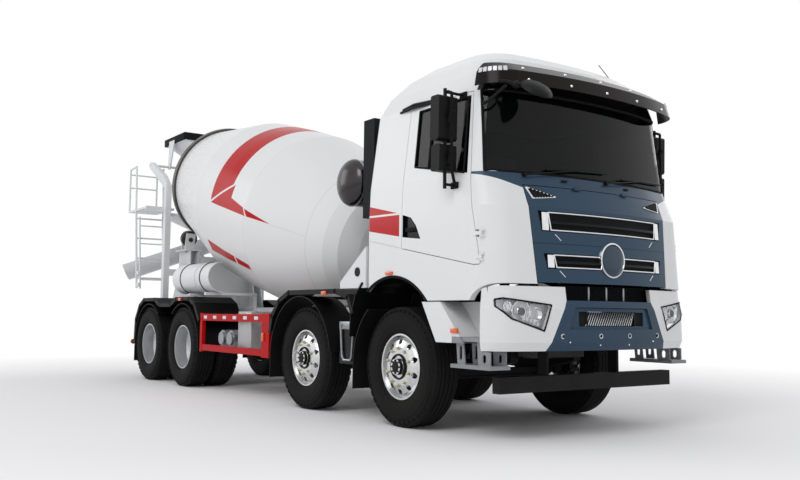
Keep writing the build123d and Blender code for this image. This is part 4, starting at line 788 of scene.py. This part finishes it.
# Screen seal with the washer jets, and the wipers.
SCREEN = [(-1.135, 2.193), (1.135, 2.193), (1.092, 2.882), (-1.092, 2.882)]
mesh = bmesh.new()
rail(mesh, outline_on(CAB_FACE, SCREEN, 20, -0.004), 0.012, shut=True)
for y in (-0.42, 0.36):
    cuboid(mesh, face_at(CAB_FACE, y - 0.03, 2.14, -0.01), face_at(CAB_FACE, y + 0.03, 2.152, 0.02), 0.004)
piece("screen_seal", mesh, "black_rubber", "cab")
mesh = bmesh.new()
for pivot, tip in ((-0.62, 0.10), (0.28, 1.0)):
    foot = pivot - 0.2, 2.17
    rail(mesh, face_line(CAB_FACE, (pivot + 0.02, 2.232), (tip, 2.262), 8, 0.016), 0.008)
    rail(mesh, face_line(CAB_FACE, foot, (pivot + 0.34, 2.248), 4, 0.03), 0.007)
    bar(mesh, face_at(CAB_FACE, *foot, -0.01), face_at(CAB_FACE, *foot, 0.035), 0.016)
piece("wipers", mesh, "black_plastic", "cab")

# Visor: round-headed screws, and the strip of white marker lamps at each end.
mesh = bmesh.new()
for y in (-0.85, -0.42, 0.0, 0.42, 0.85):
    for z in (2.945, 3.055):
        ball(mesh, face_at(VISOR_FACE, y, z), 0.014)
piece("visor_screws", mesh, "chrome_trim", "cab")
mesh = bmesh.new()
for side in (-1, 1):
    for step in range(6):
        turn = math.radians(74 - step * 8)
        place = at(1.037 + 0.3 * math.cos(turn), side * (0.862 + 0.3 * math.sin(turn)), 3.03)
        spin = Matrix.Rotation(side * turn, 4, "Z") @ Matrix.Rotation(-0.3, 4, "Y")
        size = Matrix.Diagonal((0.012, 0.032, 0.042, 1))
        bmesh.ops.create_cube(mesh, size=1.0, matrix=Matrix.Translation(place) @ spin @ size)
piece("visor_markers", mesh, "white_reflector", "cab")

# Round front mirror below the visor on the right, on its crooked arms, and the aerial.
MIRROR = [(0.0, -0.05), (0.06, -0.046), (0.11, -0.03), (0.14, -0.006), (0.146, 0.008), (0.135, 0.014),
          (0.0, 0.014)]
mesh = bmesh.new()
centre, foot, bend = at(1.47, -0.86, 2.845), at(1.21, -1.09, 2.93), at(1.40, -1.02, 2.87)
turned(mesh, MIRROR, centre, (-0.62, 0.05, -0.78), 48)
rail(mesh, [foot, at(1.34, -1.07, 2.90), bend, centre], 0.017)
rail(mesh, [at(1.12, -1.14, 2.74), at(1.20, -1.12, 2.77), at(1.34, -1.07, 2.87)], 0.013)
ball(mesh, foot, 0.034)
ball(mesh, bend, 0.034)
piece("front_mirror", mesh, "black_plastic", "cab")
mesh = bmesh.new()
bar(mesh, at(1.02, 0.62, 3.21), at(0.84, 0.60, 3.45), 0.004, 8)
bar(mesh, at(1.035, 0.62, 3.19), at(1.005, 0.617, 3.23), 0.012)
piece("antenna", mesh, "black_rubber", "cab")

# ---- bumper and lamps ---------------------------------------------------------------------
# Half the width that the bars of the bumper's vent take.
VENT_HALF = 0.31
mesh = bmesh.new()
face_sheet(mesh, ((1.0, 1.425, 1.245), (1.3, 1.425, 1.245)), -0.528, 0.528, 1.142, 1.261, -0.002)
twins(mesh, (1.43, VENT_HALF, 0.932), (1.475, 0.40, 1.048))
cuboid(mesh, at(1.40, -0.404, 0.931), at(1.42, 0.404, 1.049))
piece("bumper_mesh", mesh, "black_mesh")
mesh = bmesh.new()
for step in range(21):
    y = step * 0.028 - VENT_HALF
    bar(mesh, at(1.474, y, 0.934), at(1.474, min(y + 0.055, 0.292), 1.046), 0.0035, 6)
for y in (-0.22, 0.0, 0.22):
    cuboid(mesh, at(1.392, y - 0.01, 1.142), at(1.43, y + 0.01, 1.26), 0.003)
piece("bumper_bars", mesh, "zinc_plate")
SOCKET = [(0.0155, -0.03), (0.0155, 0.001), (0.021, 0.002), (0.022, -0.002)]
mesh = bmesh.new()
for y in (-0.59, -0.18, 0.18, 0.59):
    turned(mesh, SOCKET, face_at(BUMPER_FACE, y, 0.85), (1, 0, 0), 24)
for y, z in ((-0.18, 0.775), (0.18, 0.775), (-0.52, 0.80), (0.52, 0.80)):
    ball(mesh, face_at(BUMPER_FACE, y, z), 0.008)
piece("bumper_screws", mesh, "chrome_trim")

# Headlamps: a silver floor, a big bowl with its projector, two small bowls and a row of five
# white blocks, inside a rubber gasket. Profiles: radius, distance forward.
LAMP_CORNERS = [(0.69, 1.100), (1.105, 1.150), (1.158, 1.140), (1.162, 1.085), (1.058, 0.990), (0.77, 0.893)]
BOWL = [(0.012, -0.06), (0.055, -0.045), (0.078, -0.012), (0.084, 0.0), (0.090, 0.0), (0.088, -0.03)]
TUBE = [(0.034, -0.05), (0.036, 0.004), (0.040, 0.006), (0.043, 0.002), (0.043, -0.05)]
PUPIL = [(0.0, 0.006), (0.016, 0.003), (0.028, -0.008), (0.0335, -0.02)]
shells, bowls, glows, rings = bmesh.new(), bmesh.new(), bmesh.new(), bmesh.new()
twins(shells, (1.27, 0.70, 0.93), (1.385, 0.86, 1.105))
twins(shells, (1.25, 0.85, 0.955), (1.355, 1.0, 1.12))
twins(shells, (1.20, 0.99, 1.0), (1.30, 1.08, 1.135))
for side in (-1, 1):
    rail(rings, outline_on(BUMPER_FACE, [(side * y, z) for y, z in LAMP_CORNERS], 6, 0.001), 0.007, shut=True)
    for made, profile, steps in ((bowls, BOWL, 40), (bowls, TUBE, 32), (rings, PUPIL, 32)):
        turned(made, profile, at(1.376, side * 0.945, 1.045), (1, side * 0.12, 0), steps)
    for y, z, radius in ((0.805, 1.025, 0.052), (1.055, 1.085, 0.036)):
        small = [(0.004, -0.03), (radius * 0.7, -0.02), (radius, 0.0), (radius + 0.004, 0.0), (radius, -0.03)]
        turned(bowls, small, face_at(BUMPER_FACE, side * y, z, -0.045), (1, side * 0.25, 0), 32)
    for step in range(5):
        place = face_at(BUMPER_FACE, side * (0.80 + step * 0.032), 0.945 + step * 0.012, -0.035)
        half = Vector((0.006, 0.012, 0.016))
        cuboid(glows, place - half, place + half, 0.002)
piece("lamp_shells", shells, "silver_wheel_paint")
piece("lamp_bowls", bowls, "chrome_trim")
piece("lamp_leds", glows, "white_reflector")
piece("lamp_gaskets", rings, "black_rubber")

# ---- doors and cab sides ------------------------------------------------------------------
DOOR_WINDOW = ((0.302, 2.322), (1.0, 2.185), (0.965, 2.838), (0.284, 2.84))
MIRROR_ROD = ((0.90, 1.32, 2.87), (0.975, 1.34, 2.84), (0.978, 1.34, 2.2), (0.975, 1.31, 2.10),
              (0.93, 1.25, 2.085))
for label, side in SIDES:
    mesh = bmesh.new()
    rail(mesh, [side_at(x, z, -0.002, side) for x, z in DOOR_WINDOW], 0.009, shut=True)
    bar(mesh, side_at(0.50, 2.29, -0.006, side), side_at(0.49, 2.84, -0.006, side), 0.011)
    for z in (2.862, 2.085):
        corner = side_at(0.855, z - 0.028, -0.004, side)
        cuboid(mesh, corner, side_at(0.945, z + 0.028, 0.022, side), 0.008)
    for z in (2.75, 2.53, 2.30):
        cuboid(mesh, at(0.872, side * 1.318, z - 0.018), at(0.93, side * 1.382, z + 0.018), 0.006)
    rail(mesh, [at(x, side * y, z) for x, y, z in MIRROR_ROD], 0.013)
    for z in (2.64, 2.30):
        bar(mesh, at(0.945, side * 1.34, z - 0.05), at(0.99, side * 1.34, z + 0.05), 0.024)
    cuboid(mesh, at(0.20, side * 1.226, 1.748), at(0.36, side * 1.243, 1.782), 0.006)
    piece(f"door_trim_{label}", mesh, "black_rubber", f"door_{label}")
    mesh = bmesh.new()
    cuboid(mesh, at(0.822, side * 1.27, 2.475), at(0.8255, side * 1.435, 2.795), 0.001)
    cuboid(mesh, at(0.8225, side * 1.277, 2.21), at(0.8265, side * 1.425, 2.39), 0.001)
    piece(f"mirror_glass_{label}", mesh, "mirror_silver", f"door_{label}")

# Wind deflectors: two dark bars over each door. Rows: x, height, distance out.
DEFLECTORS = (
    (0.016, ((0.02, 2.90, 0.004), (0.20, 2.915, 0.022), (0.46, 2.90, 0.008))),
    (0.012, ((-0.02, 2.885, 0.004), (0.20, 2.885, 0.026), (0.47, 2.885, 0.006))),
)
mesh = bmesh.new()
for side in (-1, 1):
    for radius, rows in DEFLECTORS:
        rail(mesh, [side_at(*row, side) for row in rows], radius)
piece("wind_deflectors", mesh, "black_plastic", "cab")

# Black lip round each wheel arch of the cab, and its marker lamp on top.
mesh = bmesh.new()
for side in (-1, 1):
    turns = [math.radians(degrees) for degrees in range(44, 127, 4)]
    arc = [at(ARCH_R * math.cos(turn), side * 1.238, ARCH_Z + ARCH_R * math.sin(turn)) for turn in turns]
    rail(mesh, arc, 0.0145, 10)
piece("arch_lips", mesh, "black_rubber", "cab")
twin_piece("cab_markers", "orange_lens", "cab", 0.006, ((-0.09, 1.243, 1.372), (0.02, 1.262, 1.402)))

# ---- sides of the chassis -----------------------------------------------------------------
# Flat-topped mudguards with a deep outer lip, over the round ones. Profiles: x, z.
GUARD_OUT = 1.243
FENDER_1 = [(-0.72, 0.80), (-0.70, 1.0), (-0.62, 1.20), (-0.51, 1.31)]
FENDER_2 = [(-2.42, 0.82), (-2.37, 1.0), (-2.21, 1.17), (-1.98, 1.258), (-1.0, 1.258), (-0.76, 1.2),
            (-0.68, 1.05)]
FENDER_REAR = [(-7.06, 0.62), (-7.04, 0.92), (-6.88, 1.13), (-6.68, 1.222), (-6.22, 1.222), (-6.0, 1.135),
               (-5.56, 1.135), (-5.34, 1.222), (-4.86, 1.222), (-4.66, 1.14), (-4.5, 0.94)]
mesh = bmesh.new()
slabs(mesh, FENDER_1, 0.56, GUARD_OUT, 0.014)
for profile, inner in ((FENDER_2, 0.88), (FENDER_REAR, 0.62)):
    slabs(mesh, profile, inner, GUARD_OUT, 0.014)
    slabs(mesh, [(x, z - 0.018) for x, z in profile], 1.232, 1.246, 0.05)
slabs(mesh, [(-0.26, 1.27), (0.26, 1.27)], 0.53, 0.545, 0.02)
for x0, z0, x1, z1 in ((-0.42, 0.95, 0.42, 1.18), (-0.24, 1.17, 0.24, 1.27), (-0.76, 0.95, -0.46, 1.29)):
    twins(mesh, (x0, 0.537, z0), (x1, 0.553, z1))
piece("mudguard_tops", mesh, "black_plastic")

# White fairing behind the cab, with its dark round cap.
mesh, caps = bmesh.new(), bmesh.new()
for side in (-1, 1):
    for corner in bmesh.ops.create_cube(mesh, size=1.0)["verts"]:
        rear, under, inner = corner.co.x < 0, corner.co.z < 0, corner.co.y * side < 0
        height = 1.265 if under else 1.33 if rear else 1.66
        corner.co = at(-0.93 if rear else -0.465, side * (1.20 if inner else 1.225), height)
    bar(caps, at(-0.61, side * 1.222, 1.42), at(-0.61, side * 1.231, 1.42), 0.045, 32)
piece("rear_fairings", mesh, "white_frame_paint")
piece("fairing_caps", caps, "black_plastic")

# Side markers, reflectors on the side guards, and checker plate on steps and battery box.
# Marker rows: x, y, z, half length, half height.
MARKERS = ((0.90, 1.2355, 0.885, 0.045, 0.02), (-1.20, 1.2460, 1.225, 0.045, 0.02),
           (-5.16, 1.2460, 1.195, 0.045, 0.02), (-2.60, 1.2285, 0.74, 0.022, 0.05))
boxes = [((x - a, y - 0.003, z - b), (x + a, y + 0.018, z + b)) for x, y, z, a, b in MARKERS]
twin_piece("side_markers", "orange_lens", "chassis", 0.006, *boxes)
places = [-2.80 - index * 0.30 for index in range(6)]
boxes = [((x - 0.05, 1.2245, 0.935), (x + 0.05, 1.2285, 0.975)) for x in places]
twin_piece("side_reflectors", "white_reflector", "chassis", 0.002, *boxes)
mesh = bmesh.new()
twins(mesh, (0.8605, 1.003, 0.8355), (1.193, 1.222, 0.8385), 0.001)
twins(mesh, (0.835, 1.014, 0.6125), (1.315, 1.222, 0.6155), 0.001)
cuboid(mesh, at(-3.423, -1.163, 0.538), at(-3.057, -0.56, 1.033), 0.004)
piece("checker_plates", mesh, "checker_plate")

# Hangers between axles 1 and 2, bands round the air tanks, and straps round the fuel tank.
HANGER = ((-1.0, 0.90), (-0.97, 0.60), (-0.94, 0.56), (-0.82, 0.56), (-0.79, 0.60), (-0.76, 0.90))
mesh = bmesh.new()
for side in (-1, 1):
    rail(mesh, [at(x, side * 1.166, z) for x, z in HANGER], 0.012)
    for x in (-0.98, -0.78):
        bar(mesh, at(x, side * 1.168, 0.90), at(x, side * 1.18, 0.90), 0.012, 6)
twins(mesh, (-1.03, 1.149, 0.86), (-0.73, 1.17, 0.94), 0.008)
for x in (-3.95, -3.70):
    for y in (-1.05, -0.70):
        bar(mesh, at(x, y - 0.016, 0.69), at(x, y + 0.016, 0.69), 0.1075, 40)
for x in (-4.05, -3.75, -3.45, -3.05):
    cuboid(mesh, at(x - 0.02, 0.468, 0.518), at(x + 0.02, 1.152, 1.0225), 0.004)
piece("tank_straps", mesh, "zinc_plate")

# Rear lamps on a cross bar with a blank plate between, and a marker on a stub at each side.
stubs, tails, signals, plate = bmesh.new(), bmesh.new(), bmesh.new(), bmesh.new()
twins(stubs, (-7.475, 0.28, 0.74), (-7.445, 1.02, 0.78), 0.004)
twins(stubs, (-7.50, 0.56, 0.70), (-7.46, 1.02, 0.83), 0.008)
for mesh, inner, outer in ((tails, 0.74, 0.92), (signals, 0.925, 1.01), (plate, 0.57, 0.735)):
    twins(mesh, (-7.512, inner, 0.712), (-7.498, outer, 0.818), 0.004)
cuboid(plate, at(-7.482, -0.26, 0.60), at(-7.475, 0.26, 0.73), 0.002)
for side in (-1, 1):
    bar(stubs, at(-7.0, side * 1.2, 0.55), at(-7.25, side * 1.2, 0.55), 0.022, 16)
    bar(signals, at(-7.24, side * 1.2, 0.55), at(-7.29, side * 1.2, 0.55), 0.04, 20, 0.032)
piece("rear_lamp_bases", stubs, "black_plastic")
piece("tail_lenses", tails, "red_lens")
piece("turn_lenses", signals, "orange_lens")
piece("rear_plate", plate, "white_reflector")

# ---- mixer trim ---------------------------------------------------------------------------
# Water tank: rubber bands, domed ends and their rims, round the line through the ends' middles.
TANK_R, TANK_HALF = 0.2475, 1.08
tips = [vert.co for vert in nodes["water_tank"].data.vertices if abs(vert.co.y) > TANK_HALF - 0.0001]
tank = Vector((sum(place.x for place in tips) / len(tips), 0, sum(place.z for place in tips) / len(tips)))
mesh = bmesh.new()
for y in (-0.72, 0.72):
    bar(mesh, tank + Vector((0, y - 0.03, 0)), tank + Vector((0, y + 0.03, 0)), TANK_R, 64)
piece("tank_bands", mesh, "black_rubber")
turns = [math.radians(degrees) for degrees in range(0, 91, 6)]
TANK_DOME = [(TANK_R * math.sin(turn), 0.968 + 0.125 * math.cos(turn)) for turn in turns]
TANK_RIM = [(0.246, 0.955), (0.2515, 0.956), (0.2515, 0.972), (0.246, 0.973)]
domes, rims = bmesh.new(), bmesh.new()
for side in (-1, 1):
    turned(domes, TANK_DOME, tank, (0, side, 0))
    turned(rims, TANK_RIM, tank, (0, side, 0))
piece("tank_domes", domes, "stainless_painted_dark_reflection")
piece("tank_rims", rims, "zinc_plate")

# Rubber round the hopper's collar: four bars between two heights.
RIM_LOW, RIM_HIGH = 3.866, 3.986
mesh = bmesh.new()
twins(mesh, (-7.969, 0.510, RIM_LOW), (-7.041, 0.538, RIM_HIGH), 0.006)
for x in (-7.954, -7.056):
    cuboid(mesh, at(x - 0.014, -0.538, RIM_LOW), at(x + 0.014, 0.538, RIM_HIGH), 0.006)
piece("hopper_rim", mesh, "black_rubber", "hopper")

# Straps over the spare chutes. Rows: x, radius.
mesh = bmesh.new()
for x, radius in ((-5.30, 0.2135), (-4.62, 0.2055)):
    turns = [math.radians(degrees) for degrees in range(0, 181, 12)]
    arc = [at(x, -0.99 - radius * math.sin(turn), 1.492 + radius * math.cos(turn)) for turn in turns]
    rail(mesh, arc, 0.009)
piece("chute_straps", mesh, "black_rubber")

# Seats: a padded cushion over each CAD seat.
for label, side in SIDES:
    mesh = bmesh.new()
    cuboid(mesh, at(0.085, side * 0.56 - 0.252, 1.60), at(0.605, side * 0.56 + 0.252, 1.748), 0.05, 4)
    made = piece(f"seat_pad_{label}", mesh, "seat_cloth", "cab")


# ---- stage, light and camera --------------------------------------------------------------
LIGHT_LEVEL = 0.6
KEY_POWER = 900
CAMERA_AT = at(6.396, -5.695, 1.012)
AZIMUTH, PITCH, ROLL = [math.radians(degrees) for degrees in (54.644, 4.975, 0.551)]

# Pale studio paper: matt near the truck, where it takes the shadow, and plain white far off.
tree, place = begin("floor_paper", "fafafa", 0.95, Specular_IOR_Level=0.0)
distance = add(tree, VECTOR, [place], out="Value", operation="LENGTH")
far = add(tree, RANGE, [distance, 5.0, 10.5, 0.0, 1.0])
add(tree, RANGE, [far, 0.0, 1.0, 0.95, 1.0], into="Roughness")
seen = add(tree, "ShaderNodeLightPath", out="Is Camera Ray")
glow = add(tree, "ShaderNodeEmission", {"Color": linear("ffffff"), "Strength": 1.0})
share = add(tree, MATHS, [far, seen], operation="MULTIPLY")
blend = add(tree, "ShaderNodeMixShader", [share, tree.nodes[SHADER].outputs[0], glow])
tree.links.new(blend, tree.nodes["Material Output"].inputs["Surface"])

mesh = bmesh.new()
bmesh.ops.create_grid(mesh, x_segments=1, y_segments=1, size=60.0)
data = bpy.data.meshes.new("floor")
mesh.to_mesh(data)
mesh.free()
data.materials.append(MAT["floor_paper"])
floor = show("floor", data)

# White studio: plain white to the eye, in mirrors and through glass, and grey as a light.
world = bpy.data.worlds.new("studio")
bpy.context.scene.world = world
world.use_nodes = True
tree = world.node_tree
rays = add(tree, "ShaderNodeLightPath").node.outputs
seen = add(tree, MATHS, [rays["Is Camera Ray"], rays["Is Glossy Ray"]], operation="MAXIMUM")
seen = add(tree, MATHS, [seen, rays["Is Transmission Ray"]], operation="MAXIMUM")
grey = (LIGHT_LEVEL, LIGHT_LEVEL, LIGHT_LEVEL * 1.03, 1.0)
paper = add(tree, MIX, {0: seen, 6: grey, 7: (1.0, 1.0, 1.0, 1.0)}, out=2, data_type="RGBA")
tree.links.new(paper, tree.nodes["Background"].inputs["Color"])
tree.nodes["Background"].inputs["Strength"].default_value = 1.0


def lamp(name, place, target, size, power):
    """A square area lamp that faces a place."""
    data = bpy.data.lights.new(name, "AREA")
    data.shape = "SQUARE"
    data.size = size
    data.energy = power
    made = show(name, data)
    made.location = place
    made.rotation_mode = "QUATERNION"
    made.rotation_quaternion = (Vector(target) - Vector(place)).to_track_quat("-Z", "Y")


lamp("key_light", (9, -13, 13), (0, 0, 1.5), 8.0, KEY_POWER)
lamp("side_light", (-12, -10, 7), (-2, 0, 1.5), 7.0, KEY_POWER * 0.3)
lamp("far_light", (2, 15, 10), (0, 0, 1.5), 9.0, KEY_POWER * 0.35)

camera_data = bpy.data.cameras.new("camera")
camera_data.sensor_width = 36.0
camera_data.lens = 38.59
camera = show("camera", camera_data)
turn = Matrix.Rotation(AZIMUTH, 4, "Z") @ Matrix.Rotation(math.pi / 2 + PITCH, 4, "X")
camera.matrix_world = Matrix.Translation(CAMERA_AT) @ turn @ Matrix.Rotation(ROLL, 4, "Z")
bpy.context.scene.camera = camera
bpy.context.scene.view_settings.view_transform = "Standard"
